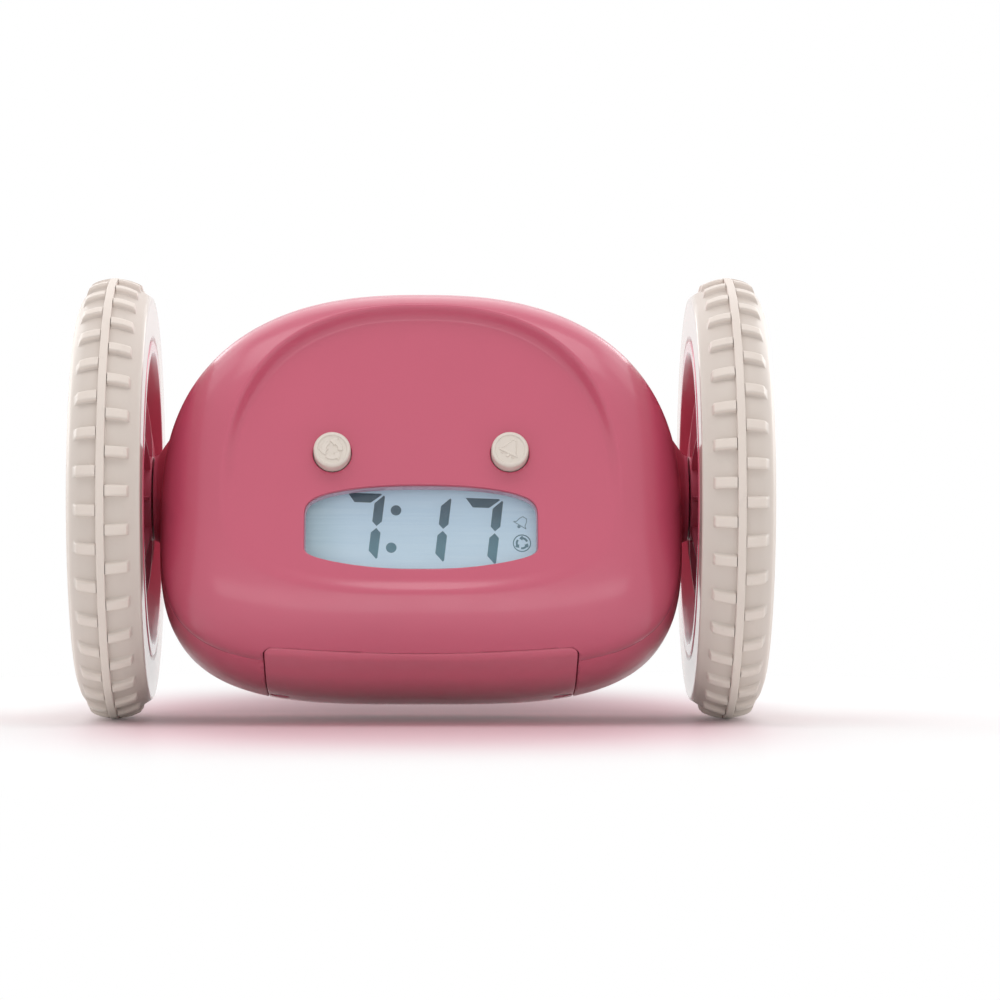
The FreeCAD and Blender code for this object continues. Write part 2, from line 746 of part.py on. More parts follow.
# ---------------------------------------------------------------- speaker
speaker = BODY * Placement(Vector(0, SPEAKER_BACK, SPEAKER_UP), turned((0, -1, 0)))
basket_profile = (
    (11.5, 0),
    (SPEAKER_RADIUS, 0),
    (SPEAKER_RADIUS, 1.2),
    (12.6, 1.2),
    (9.0, 4.2),
    (7.2, 4.2),
    (7.2, 3.4),
    (8.6, 3.4),
    (11.5, 1.0),
)
piece(revolved("speaker_basket", speaker, basket_profile), "speaker_basket")
cone_profile = ((0, 2.6), (3.0, 2.2), (11.2, 0.2), (11.2, 0.5), (3.2, 2.5), (0, 2.9))
piece(revolved("speaker_cone", speaker, cone_profile), "speaker_cone")
magnet_at = (0, SPEAKER_BACK - 3.4, SPEAKER_UP)
piece(cylinder("speaker_magnet", 7.0, 4.2, BODY, magnet_at, (0, -1, 0)), "speaker_magnet")

# ---------------------------------------------------------------- batteries and their tray
cell_radius, cell_length = dim("cell_radius"), dim("cell_length")
CELL_COUNT = 4
CELL_FIRST = -14.4
CELL_LIFTS = (0.0, 0.0, 0.0, 1.1)  # the last cell sits higher, in the rounding of the hull
TRAY_HALF_LENGTH = 25.4  # inside, along the cells
TRAY_WALL = 1.4
TRAY_FRONT, TRAY_BACK = -21.3, 24.2
STEP_FRONT = 10.8  # the tray is raised over the last cell
CONTACT = 0.4
SPRING_LENGTH = 2 * TRAY_HALF_LENGTH - float(cell_length) - CONTACT
tray_outer = TRAY_HALF_LENGTH + TRAY_WALL
tray_plate = box(
    "tray_plate", (-37.0, TRAY_FRONT, TRAY_TOP - TRAY_PLATE), (37.0, TRAY_BACK, TRAY_TOP), BODY
)
tray_walls = box("tray_walls", (-tray_outer, TRAY_FRONT, -33.6), (tray_outer, TRAY_BACK, TRAY_TOP), BODY)
tray_room = box(
    "tray_room",
    (-TRAY_HALF_LENGTH, TRAY_FRONT + 1.3, -far),
    (TRAY_HALF_LENGTH, TRAY_BACK - 1.3, TRAY_TOP - TRAY_PLATE),
    BODY,
)
step = CELL_LIFTS[-1]
tray_step = box(
    "tray_step",
    (-tray_outer, STEP_FRONT, TRAY_TOP - TRAY_PLATE),
    (tray_outer, TRAY_BACK, TRAY_TOP + step),
    BODY,
)
step_room = box(
    "step_room",
    (-TRAY_HALF_LENGTH, STEP_FRONT + 1.3, -far),
    (TRAY_HALF_LENGTH, TRAY_BACK - 1.3, TRAY_TOP - TRAY_PLATE + step),
    BODY,
)
tray_adds = [tray_plate, tray_walls, tray_step]
tray_cuts = [tray_room, step_room]
for side in (-1, 1):
    at = (side * COVER_SCREW_X, COVER_SCREW_Y, -37.5)
    tray_adds.append(cylinder("cover_screw_boss", 1.9, 14.8, BODY, at))
    tray_cuts.append(cylinder("cover_screw_thread", 1.05, 11.3, BODY, at))
    # saddles that carry the motors
    low = (min(side * 12.0, side * 32.0), float(dim("motor_back")) - 6.0, TRAY_TOP)
    motor_bottom = -dim("motor_drop") - dim("motor_height") / 2
    high = (max(side * 12.0, side * 32.0), float(dim("motor_back")) + 6.0, motor_bottom)
    tray_adds.append(box("motor_saddle", low, high, BODY))
tray_blank = fuse("tray_blank", *tray_adds)
tray_shape = common(
    "tray_shape",
    cut("tray_cut", tray_blank, *tray_cuts),
    feature("tray_limit", hull(float(wall) + 0.15), BODY),
)
piece(tray_shape, "battery_tray")

springs, plates = [], []
SPRING_WIRE = 0.3
SPRING_TURNS = 4
WIRE_SIDES = 8


def spring_shape(radius, length):
    """A coil of eight-sided wire standing on its own Z axis."""
    pitch = length / SPRING_TURNS
    helix = Part.makeHelix(pitch, length, radius)
    along = Vector(0, 2 * math.pi * radius, pitch).normalize()
    outwards = Vector(1, 0, 0)
    upwards = along.cross(outwards)
    corners = []
    for i in range(WIRE_SIDES + 1):
        angle = math.tau * (i + 0.5) / WIRE_SIDES
        across = outwards * math.cos(angle) + upwards * math.sin(angle)
        corners.append(Vector(radius, 0, 0) + across * SPRING_WIRE)
    section = Part.makePolygon(corners)
    return Part.Wire(helix).makePipeShell([section], True, True)


for number in range(CELL_COUNT):
    towards = 1 if number % 2 else -1  # the side that the nub points to
    depth = CELL_FIRST + float(dim("cell_pitch")) * number
    middle = CELL_LIFTS[number] - float(dim("cell_drop"))
    nub_end = towards * (TRAY_HALF_LENGTH - CONTACT)
    frame = BODY * Placement(
        Vector(nub_end, depth, middle), turned((-towards, 0, 0))
    )
    profile = (
        (0, 0),
        (1.9, 0),
        (1.9, 0.9),
        (cell_radius - 0.6, 0.9),
        (cell_radius, 1.5),
        (cell_radius, cell_length - 0.4),
        (cell_radius - 0.4, cell_length),
        (0, cell_length),
    )
    label = f"battery_{number + 1}"
    piece(revolved(label, frame, profile), label)
    plate_x = sorted((towards * TRAY_HALF_LENGTH, nub_end))
    low = (plate_x[0], depth - 3.5, middle - 3.0)
    high = (plate_x[1], depth + 3.5, middle + 3.0)
    plates.append(box("contact_plate", low, high, BODY))
    spring_frame = BODY * Placement(
        Vector(-towards * (TRAY_HALF_LENGTH - SPRING_WIRE), depth, middle),
        turned((towards, 0, 0)),
    )
    spring = spring_shape(3.0, SPRING_LENGTH - 2 * SPRING_WIRE)
    springs.append(feature("contact_spring", spring, spring_frame))
piece(group("spring_contacts", *springs), "spring_contacts")
piece(group("plate_contacts", *plates), "plate_contacts")

# ---------------------------------------------------------------- gears
PRESSURE_ANGLE = math.radians(20)
ADDENDUM, DEDENDUM = 0.8, 1.15  # in modules
BACKLASH = 0.14  # taken off each tooth at the pitch circle
FLANK_STEPS = 3
PINION_TEETH, IDLER_BIG, IDLER_SMALL, OUTPUT_TEETH = 10, 32, 12, 36


def involute(angle):
    return math.tan(angle) - angle


def gear_outline(teeth, phase):
    """Closed outline of a spur gear with one tooth centred on the angle phase, in degrees."""
    module = float(dim("gear_module"))
    pitch = module * teeth / 2
    base = pitch * math.cos(PRESSURE_ANGLE)
    tip, root = pitch + ADDENDUM * module, pitch - DEDENDUM * module
    half_pitch_angle = math.pi / (2 * teeth) - BACKLASH / (2 * pitch)
    low = max(base, root)
    radii = [low + (tip - low) * i / FLANK_STEPS for i in range(FLANK_STEPS + 1)]
    flank = []
    for radius in radii:
        pressure = math.acos(min(1.0, base / radius))
        half = half_pitch_angle + involute(PRESSURE_ANGLE) - involute(pressure)
        flank.append((radius, half))
    if root < base:
        flank.insert(0, (root, flank[0][1]))
    points = []
    for tooth in range(teeth):
        middle = math.radians(phase) + 2 * math.pi * tooth / teeth
        for radius, half in flank:
            points.append(polar(radius, middle - half))
        for radius, half in reversed(flank):
            points.append(polar(radius, middle + half))
    return Part.Wire(Part.makePolygon(points + [points[0]]))


def polar(radius, angle):
    return Vector(radius * math.cos(angle), radius * math.sin(angle), 0)


def gear_blank(teeth, phase, start, width):
    face = Part.Face(gear_outline(teeth, phase))
    face.translate(Vector(0, 0, start))
    return face.extrude(Vector(0, 0, width))


module = float(dim("gear_module"))
OUTPUT_TO_IDLER = module * (OUTPUT_TEETH + IDLER_SMALL) / 2
IDLER_TO_MOTOR = module * (IDLER_BIG + PINION_TEETH) / 2
motor_y, motor_z = float(dim("motor_back")), -float(dim("motor_drop"))


def idler_centre():
    """Behind and above the axle: where the two centre distances meet, on the back side."""
    span = math.hypot(motor_y, motor_z)
    along = (OUTPUT_TO_IDLER**2 - IDLER_TO_MOTOR**2 + span**2) / (2 * span)
    aside = math.sqrt(OUTPUT_TO_IDLER**2 - along**2)
    unit_y, unit_z = motor_y / span, motor_z / span
    return along * unit_y - aside * unit_z, along * unit_z + aside * unit_y


idler_y, idler_z = idler_centre()
axle_radius = dim("axle_radius")
gap = dim("running_gap")
PIN_RADIUS = 1.0
BASE_PLATE = (35.5, 36.5)  # gearbox plates, along the axle
OUTER_PLATE = (44.0, 44.9)
STAGE_ONE = (37.2, 39.5)  # pinion and the idler's big gear
STAGE_TWO = (40.1, 43.3)  # the idler's small gear and the output gear
PILLARS = ((-9.6, -7.6), (-8.6, 8.6), (11.6, 8.9))  # behind and above the axle

SHAFT_START = 35.7  # inner end of a wheel shaft, in its base plate
CAN_END = 35.4  # outer end of a motor's case

idler_pins, gearbox_screws = [], []
for side, hand in ((-1, "left"), (1, "right")):
    frame = drive_frame(side)
    idler_at = drive_point(side, idler_y, idler_z)
    motor_at = drive_point(side, motor_y, motor_z)
    to_idler = math.degrees(math.atan2(idler_at[1], idler_at[0]))
    to_motor = math.degrees(
        math.atan2(motor_at[1] - idler_at[1], motor_at[0] - idler_at[0])
    )

    shaft_blank = cylinder(hand + "_shaft_rod", axle_radius, 62.9 - SHAFT_START, frame, (0, 0, SHAFT_START))
    screw_hole = cylinder(hand + "_shaft_thread", 1.0, 9.0, frame, (0, 0, 53.9))
    piece(cut(hand + "_axle_shaft", shaft_blank, screw_hole), hand + "_axle_shaft")

    output = gear_blank(OUTPUT_TEETH, to_idler, STAGE_TWO[0], STAGE_TWO[1] - STAGE_TWO[0])
    output_blank = feature(hand + "_output_blank", output, frame)
    bore = cylinder(hand + "_output_bore", axle_radius, 10.0, frame, (0, 0, 40.0))
    piece(cut(hand + "_output_gear", output_blank, bore), hand + "_output_gear")

    big = gear_blank(IDLER_BIG, to_motor, STAGE_ONE[0], STAGE_ONE[1] - STAGE_ONE[0])
    small_phase = to_idler + 180 + 180 / IDLER_SMALL
    small = gear_blank(IDLER_SMALL, small_phase, STAGE_ONE[1], STAGE_TWO[1] - STAGE_ONE[1])
    idler_frame = frame * Placement(Vector(*idler_at, 0), Rotation())
    idler_blank = feature(hand + "_idler_blank", big.fuse(small), idler_frame)
    bore = cylinder(hand + "_idler_bore", gap + PIN_RADIUS, 12.0, idler_frame, (0, 0, 34.0))
    piece(cut(hand + "_idler_gear", idler_blank, bore), hand + "_idler_gear")
    pin_at = (0, 0, BASE_PLATE[0])
    pin_length = OUTER_PLATE[1] - BASE_PLATE[0]
    idler_pins.append(cylinder("idler_pin", PIN_RADIUS, pin_length, idler_frame, pin_at))

    motor_frame = frame * Placement(Vector(*motor_at, 0), Rotation())
    pinion_phase = to_motor + 180 + 180 / PINION_TEETH
    pinion = gear_blank(PINION_TEETH, pinion_phase, STAGE_ONE[0] - 0.2, 2.7)
    pinion_blank = feature(hand + "_pinion_blank", pinion, motor_frame)
    bore = cylinder(hand + "_pinion_bore", PIN_RADIUS, 10.0, motor_frame, (0, 0, 35.0))
    piece(cut(hand + "_motor_pinion", pinion_blank, bore), hand + "_motor_pinion")
    shaft_start = CAN_END - float(dim("motor_length")) + 2.0
    piece(
        cylinder(hand + "_motor_shaft", PIN_RADIUS, 40.2 - shaft_start, motor_frame, (0, 0, shaft_start)),
        hand + "_motor_shaft",
    )

    # Motor: a round can with two flats and a front boss, hollow for its shaft.
    can_start = CAN_END - float(dim("motor_length"))
    can = common(
        hand + "_can",
        cylinder(hand + "_can_round", dim("motor_width") / 2, dim("motor_length"), motor_frame, (0, 0, can_start)),
        box(
            hand + "_can_flats",
            (-dim("motor_height") / 2, -far, can_start),
            (dim("motor_height") / 2, far, can_start + dim("motor_length")),
            motor_frame,
        ),
    )
    nose = cylinder(hand + "_motor_nose", 3.0, 1.0, motor_frame, (0, 0, CAN_END))
    tail = cylinder(hand + "_motor_tail", 4.0, 1.5, motor_frame, (0, 0, can_start - 1.5))
    solid = fuse(hand + "_motor_blank", can, nose, tail)
    bore_radius = gap + PIN_RADIUS
    bore = cylinder(hand + "_motor_bore", bore_radius, 30.0, motor_frame, (0, 0, can_start + 1.8))
    piece(cut(hand + "_motor", solid, bore), hand + "_motor")

    # Gearbox: a base plate with pillars, and an outer plate screwed to them.
    plate_corners = []
    for back, up in ((-12.0, -10.0), (-12.0, 11.0), (20.5, 11.0), (20.5, -14.0), (13.0, -17.0), (1.0, -17.0)):
        plate_corners.append(drive_point(side, back, up))
    if side > 0:
        plate_corners.reverse()
    plate_frame = frame * Placement(Vector(0, 0, BASE_PLATE[0]), Rotation())
    base = padded(hand + "_base_plate", plate_frame, plate_corners, BASE_PLATE[1] - BASE_PLATE[0])
    adds, cuts = [base], []
    for back, up in PILLARS:
        at = (*drive_point(side, back, up), BASE_PLATE[1])
        adds.append(cylinder(hand + "_pillar", 1.7, OUTER_PLATE[0] - BASE_PLATE[1], frame, at))
        hole_at = (at[0], at[1], OUTER_PLATE[0] - 5.0)
        cuts.append(cylinder(hand + "_pillar_hole", 0.8, 6.0, frame, hole_at))
        screw_at = (at[0], at[1], OUTER_PLATE[1])
        shank = cylinder("gearbox_shank", 0.8, 5.0, frame, screw_at, (0, 0, -1))
        head = cylinder("gearbox_head", 1.5, 0.8, frame, screw_at)
        gearbox_screws.append(fuse("gearbox_screw", shank, head))
    cuts.append(cylinder(hand + "_base_shaft_hole", axle_radius + gap, 4.0, frame, (0, 0, 35.0)))
    cuts.append(cylinder(hand + "_base_pin_hole", PIN_RADIUS, 4.0, idler_frame, (0, 0, 35.0)))
    cuts.append(cylinder(hand + "_base_nose_hole", 3.0, 4.0, motor_frame, (0, 0, 35.0)))
    base_body = fuse(hand + "_base_body", *adds)
    piece(cut(hand + "_gearbox_base", base_body, *cuts), hand + "_gearbox_base")

    outer_corners = []
    for back, up in ((-11.6, -9.6), (-11.0, 10.6), (13.9, 10.6), (16.0, -5.5), (8.0, -9.6)):
        outer_corners.append(drive_point(side, back, up))
    if side > 0:
        outer_corners.reverse()
    plate_frame = frame * Placement(Vector(0, 0, OUTER_PLATE[0]), Rotation())
    plate = padded(hand + "_outer_plate", plate_frame, outer_corners, OUTER_PLATE[1] - OUTER_PLATE[0])
    holes = [
        cylinder(hand + "_outer_shaft_hole", axle_radius + gap, 4.0, frame, (0, 0, 43.0)),
        cylinder(hand + "_outer_pin_hole", PIN_RADIUS, 4.0, idler_frame, (0, 0, 43.0)),
    ]
    for back, up in PILLARS:
        at = (*drive_point(side, back, up), 43.0)
        holes.append(cylinder(hand + "_outer_screw_hole", 0.8, 4.0, frame, at))
    piece(cut(hand + "_gearbox_plate", plate, *holes), hand + "_gearbox_plate")

    bushing_start = 47.6
    bushing_length = 52.9 - bushing_start
    bushing = ring(
        hand + "_bushing",
        bushing_radius,
        axle_radius + gap,
        bushing_length,
        frame,
        (0, 0, bushing_start),
    )
    piece(bushing, hand + "_bushing")
piece(group("idler_pins", *idler_pins), "idler_pins")
piece(group("gearbox_screws", *gearbox_screws), "gearbox_screws")

# ---------------------------------------------------------------- wheels
HUB_INNER, HUB_OUTER = 53.5, 63.0  # ends of the hub, from the middle of the clock
WEB = (59.6, 61.0)  # the dish between hub and rim
LUG_PHASES = {"left": (2.0, 7.0), "right": (6.0, 1.0)}  # inner and outer row, degrees
rim, tread = dim("rim_radius"), dim("tread_radius")
inner_side = dim("tyre_inner_side")
outer_side = inner_side + dim("tyre_width")
rib_low = dim("rib_middle") - dim("rib_width") / 2
rib_high = dim("rib_middle") + dim("rib_width") / 2
wheel_radius = dim("wheel_radius")
SPOKES = 8
SPOKE_PHASE = 0  # degrees; one rib stands upright
for side, hand in ((-1, "left"), (1, "right")):
    frame = wheel_frame(side)
    tyre = revolved(
        hand + "_tyre",
        frame,
        (
            (rim + 0.05, inner_side + 0.6),
            (rim + 0.7, inner_side),
            (tread - 3.3, inner_side),
            (tread - 2.2, inner_side + 0.9),
            (tread - 1.02, inner_side + 3.0),
            (tread - 0.2, rib_low - 1.2),
            (tread, rib_low),
            (wheel_radius, rib_low + 0.1),
            (wheel_radius, rib_high - 0.1),
            (tread, rib_high),
            (tread - 0.5, rib_high + 2.4),
            (tread - 1.6, rib_high + 4.3),
            (tread - 3.1, outer_side - 0.9),
            (tread - 5.0, outer_side - 0.2),
            (tread - 7.0, outer_side),
            (rim + 3.0, outer_side),
            (rim + 0.05, outer_side - 1.0),
        ),
    )
    lug_runs = ((rib_low, -1), (rib_high, 1))  # where each row starts, and which way it runs
    for row_name, run, phase in zip(("inner", "outer"), lug_runs, LUG_PHASES[hand]):
        start, way = run
        sketch = polygon_sketch(
            tyre,
            f"{hand}_{row_name}_lug_outline",
            "XZ_Plane",
            (
                (tread - 2.4, start - way * 0.3),
                (wheel_radius - 0.1, start - way * 0.3),
                (wheel_radius - 0.4, start + way * dim("lug_length") / 2),
                (wheel_radius - 1.4, start + way * dim("lug_length")),
                (tread - 2.4, start + way * dim("lug_length")),
            ),
        )
        sketch.AttachmentOffset = Placement(Vector(), Rotation(Vector(0, 1, 0), phase))
        lug = tyre.newObject("PartDesign::Pad", f"{hand}_{row_name}_lug")
        lug.Profile = sketch
        lug.Midplane = True
        bind(lug, "Length", dim("lug_width"))
        doc.recompute()
        pattern = tyre.newObject("PartDesign::PolarPattern", f"{hand}_{row_name}_lugs")
        pattern.Originals = [lug]
        pattern.Axis = (next(f for f in tyre.Origin.OriginFeatures if f.Role == "Z_Axis"), [""])
        pattern.Angle = 360
        bind(pattern, "Occurrences", dim("lug_count"))
        tyre.Tip = pattern
        doc.recompute()
    piece(tyre, hand + "_tyre")

    disc = revolved(
        hand + "_wheel_disc",
        frame,
        (
            (axle_radius, HUB_INNER),
            (8.4, HUB_INNER),
            (8.4, WEB[0]),
            (19.0, WEB[0]),
            (24.0, WEB[0] - 0.6),
            (26.6, WEB[0] - 1.8),
            (29.1, inner_side + 0.3),
            (29.4, inner_side + 0.02),
            (rim, inner_side + 0.02),
            (rim, outer_side - 1.2),
            (29.8, outer_side - 1.2),
            (29.0, WEB[1] + 0.6),
            (27.0, WEB[1]),
            (7.8, WEB[1]),
            (7.8, HUB_OUTER),
            (axle_radius, HUB_OUTER),
        ),
    )
    # each rib is an upright plate whose free edge falls back from the hub to the bowl
    sketch = polygon_sketch(
        disc,
        hand + "_spoke_outline",
        "XZ_Plane",
        (
            (8.0, WEB[0] + 0.3),
            (8.0, HUB_INNER + 0.2),
            (14.0, HUB_INNER + 0.4),
            (19.0, HUB_INNER + 1.1),
            (24.0, HUB_INNER + 2.5),
            (28.0, HUB_INNER + 4.3),
            (28.0, WEB[0] + 0.3),
        ),
    )
    sketch.AttachmentOffset = Placement(Vector(), Rotation(Vector(0, 1, 0), SPOKE_PHASE))
    spoke = disc.newObject("PartDesign::Pad", hand + "_spoke")
    spoke.Profile = sketch
    spoke.Midplane = True
    spoke.Length = 1.2
    doc.recompute()
    pattern = disc.newObject("PartDesign::PolarPattern", hand + "_spokes")
    pattern.Originals = [spoke]
    pattern.Axis = (next(f for f in disc.Origin.OriginFeatures if f.Role == "Z_Axis"), [""])
    pattern.Angle = 360
    pattern.Occurrences = SPOKES
    disc.Tip = pattern
    piece(disc, hand + "_wheel_disc")

    shank = cylinder(hand + "_wheel_shank", 1.0, 8.6, frame, (0, 0, HUB_OUTER - 8.6))
    head = cylinder(hand + "_wheel_head", 3.4, 1.6, frame, (0, 0, HUB_OUTER))
    piece(fuse(hand + "_wheel_screw", shank, head), hand + "_wheel_screw")

    cap_profile = (
        (7.85, WEB[1] + 0.1),
        (9.2, WEB[1] + 0.1),
        (9.2, 65.4),
        (7.6, 66.8),
        (0, 67.1),
        (0, 65.4),
        (7.2, 65.0),
        (7.85, 64.4),
    )
    piece(revolved(hand + "_hub_cap", frame, cap_profile), hand + "_hub_cap")

# ---------------------------------------------------------------- checks and files
doc.recompute()
for made in doc.Objects:
    if "Invalid" in made.State or "Error" in made.State:
        raise RuntimeError(f"{made.Name} failed: {made.State}")
names = [made.Label for made in pieces]
if len(set(names)) != len(names):
    raise RuntimeError("two sub-parts share a name")
os.makedirs("parts", exist_ok=True)
for made in pieces:
    if made.Shape.isNull() or not made.Shape.isValid():
        raise RuntimeError(f"{made.Label} has no valid shape")
for made in pieces:
    made.Shape.exportStep(os.path.join("parts", made.Label + ".step"))
print(len(pieces), "sub-parts written")
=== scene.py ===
import bpy
import numpy as np
from math import cos, sin, tan, pi, radians, degrees, atan2, sqrt
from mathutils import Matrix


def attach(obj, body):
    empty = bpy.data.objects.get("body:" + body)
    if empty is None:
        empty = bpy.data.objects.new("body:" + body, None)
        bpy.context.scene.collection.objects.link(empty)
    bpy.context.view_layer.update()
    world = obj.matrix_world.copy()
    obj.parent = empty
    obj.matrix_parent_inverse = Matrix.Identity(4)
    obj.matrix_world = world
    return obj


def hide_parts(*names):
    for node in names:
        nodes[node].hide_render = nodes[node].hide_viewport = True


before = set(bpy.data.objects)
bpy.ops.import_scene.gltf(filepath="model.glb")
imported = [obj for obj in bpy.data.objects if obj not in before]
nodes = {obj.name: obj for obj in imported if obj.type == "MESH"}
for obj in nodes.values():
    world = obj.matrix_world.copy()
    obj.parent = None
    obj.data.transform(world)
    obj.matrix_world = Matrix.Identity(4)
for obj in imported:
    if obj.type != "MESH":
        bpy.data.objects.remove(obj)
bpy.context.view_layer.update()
print("frame loaded with", len(nodes), "CAD nodes")

# Shapes are worked out in millimetres and stored in metres. The clock's body leans back
# about the axle; its own frame has the axle at the origin and +Y to the back.
tilt = {"body": radians(10.0), "face": radians(7.05)}
axleHeight = 44.0
faceSpot = {"depth": 27.04, "drop": 3.0, "radius": 360.0}


def bodyToWorld(points):
    # turn about X by the body's tilt, then lift to the axle's height
    x, y, z = points[..., 0], points[..., 1], points[..., 2]
    c, s = cos(tilt["body"]), sin(tilt["body"])
    return np.stack([x, y * c + z * s, axleHeight - y * s + z * c], -1) / 1000


def faceToBody(points):
    # the face frame touches the hollow of the face; +Y runs into the clock
    u, d, v = points[..., 0], points[..., 1], points[..., 2]
    c, s = cos(tilt["face"]), sin(tilt["face"])
    return np.stack([u, -faceSpot["depth"] + d * c + v * s, -faceSpot["drop"] - d * s + v * c], -1)


def faceToWorld(points):
    return bodyToWorld(faceToBody(points))


def fullTurn(count):
    # evenly spaced angles round a circle
    return np.arange(count) * 2 * pi / count


def smoothStep(value, low, high):
    # 0 below low, 1 above high, an S-shaped cubic between
    t = np.clip((value - low) / (high - low), 0, 1)
    return t * t * (3 - 2 * t)


def gridFaces(rows, columns, wrapped=True):
    # four corners of every cell of a grid whose vertices run along the columns first
    j = np.arange(columns if wrapped else columns - 1)
    i = np.arange(rows - 1)[:, None]
    k = (j + 1) % columns
    cells = np.stack([i * columns + j, i * columns + k, (i + 1) * columns + k, (i + 1) * columns + j], -1)
    return cells.reshape(-1, 4)


def ringFaces(rows, columns):
    # the same cells, and those that join the last row to the first
    j = np.arange(columns)
    k = (j + 1) % columns
    last = (rows - 1) * columns
    return np.concatenate([gridFaces(rows, columns), np.stack([last + j, last + k, k, j], -1)])


def fanFaces(tip, ring, turned=False):
    # triangles from a tip to a closed ring of vertex numbers
    following = np.roll(ring, -1)
    order = (following, ring) if turned else (ring, following)
    return np.stack([np.full(len(ring), tip), *order], -1)


def makePiece(name, points, faceSets, body, material, replaces=(), sharp=35):
    # one smooth mesh from arrays of vertices in metres and of faces; edges past the angle stay sharp
    mesh = bpy.data.meshes.new(name)
    corners = np.concatenate([faces.ravel() for faces in faceSets]).astype(np.int32)
    sizes = np.concatenate([np.full(len(faces), faces.shape[1]) for faces in faceSets])
    used = np.unique(corners)  # vertices that no face keeps are dropped
    renumbered = np.zeros(len(points), np.int32)
    renumbered[used] = np.arange(len(used))
    mesh.vertices.add(len(used))
    mesh.vertices.foreach_set("co", points[used].astype(np.float32).ravel())
    mesh.loops.add(len(corners))
    mesh.loops.foreach_set("vertex_index", renumbered[corners])
    mesh.polygons.add(len(sizes))
    mesh.polygons.foreach_set("loop_start", (np.cumsum(sizes) - sizes).astype(np.int32))
    mesh.update(calc_edges=True)
    mesh.validate()
    mesh.polygons.foreach_set("use_smooth", np.ones(len(mesh.polygons), bool))
    if sharp:
        mesh.set_sharp_from_angle(angle=radians(sharp))
    mesh.materials.append(material)
    piece = bpy.data.objects.new(name, mesh)
    bpy.context.scene.collection.objects.link(piece)
    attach(piece, body)
    if replaces:
        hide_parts(*replaces)
    return piece


def addWall(piece, thickness):
    # the open skin becomes a closed wall, grown inwards
    wall = piece.modifiers.new("wall", "SOLIDIFY")
    wall.thickness = thickness / 1000
    wall.offset = -1
    wall.use_rim = True


def roundedPath(corners, steps=5):
    # a polyline whose corners are replaced by arcs; each corner is (along, out, radius)
    corners = [np.array(c, float) for c in corners]
    count = len(corners)
    parts = []
    for i, corner in enumerate(corners):
        point, radius = corner[:2], corner[2]
        before, after = corners[i - 1][:2] - point, corners[(i + 1) % count][:2] - point
        lengths = np.hypot(*before), np.hypot(*after)
        before, after = before / lengths[0], after / lengths[1]
        half = np.arccos(np.clip(before @ after, -1, 1)) / 2
        if radius <= 0 or half > pi / 2 - 0.02:
            parts.append(point[None])
            continue
        reach = min(radius / tan(half), 0.49 * lengths[0], 0.49 * lengths[1])
        radius = reach * tan(half)
        middle = (before + after) / np.hypot(*(before + after))
        centre = point + middle * radius / sin(half)
        start, end = point + before * reach - centre, point + after * reach - centre
        turn = np.linspace(0, 1, steps)
        sweep = pi - 2 * half
        arc = (np.outer(np.sin((1 - turn) * sweep), start) + np.outer(np.sin(turn * sweep), end)) / sin(sweep)
        parts.append(centre + arc)
    return np.concatenate(parts)


def holdEdges(path, reach=0.14):
    # two more points near the ends of every long straight part, so that its shading stays flat
    gap = np.roll(path, -1, 0) - path
    length = np.hypot(gap[:, 0], gap[:, 1])
    long = length > 5 * reach
    step = gap * (reach / np.maximum(length, reach))[:, None]
    parts = np.stack([path, path + step, path + gap - step], 1)
    return parts[np.stack([np.ones_like(long), long, long], 1)]


def revolve(profile, angles, place):
    # every point (along the axis, radius) of a closed profile is carried round the axis
    profile = holdEdges(profile)
    along, radius = profile[:, 0][:, None], profile[:, 1][:, None]
    flat = np.broadcast_to(along, (len(profile), len(angles)))
    points = np.stack([radius * np.cos(angles), radius * np.sin(angles), flat], -1).reshape(-1, 3)
    return place(points), ringFaces(len(profile), len(angles))


def facingOut(points, faces):
    # flips the faces of a closed shape whose signed volume comes out negative
    a, b, c = (points[faces[:, k]] for k in (0, 1, 2))
    volume = np.einsum("ij,ij->i", a, np.cross(b, c)).sum()
    if faces.shape[1] == 4:
        volume += np.einsum("ij,ij->i", a, np.cross(c, points[faces[:, 3]])).sum()
    return faces if volume > 0 else faces[:, ::-1]


class Wire:
    # a shader socket that takes part in sums; every operator adds one Math node
    def __init__(self, maker, socket):
        self.maker, self.socket = maker, socket

    def math(self, operation, *values):
        return self.maker.node("ShaderNodeMath", {"operation": operation}, dict(enumerate(values)))

    def __add__(self, other):
        return self.math("ADD", self, other)

    def __radd__(self, other):
        return self.math("ADD", other, self)

    def __sub__(self, other):
        return self.math("SUBTRACT", self, other)

    def __rsub__(self, other):
        return self.math("SUBTRACT", other, self)

    def __mul__(self, other):
        return self.math("MULTIPLY", self, other)

    def __rmul__(self, other):
        return self.math("MULTIPLY", other, self)

    def __truediv__(self, other):
        return self.math("DIVIDE", self, other)

    def __abs__(self):
        return self.math("ABSOLUTE", self)


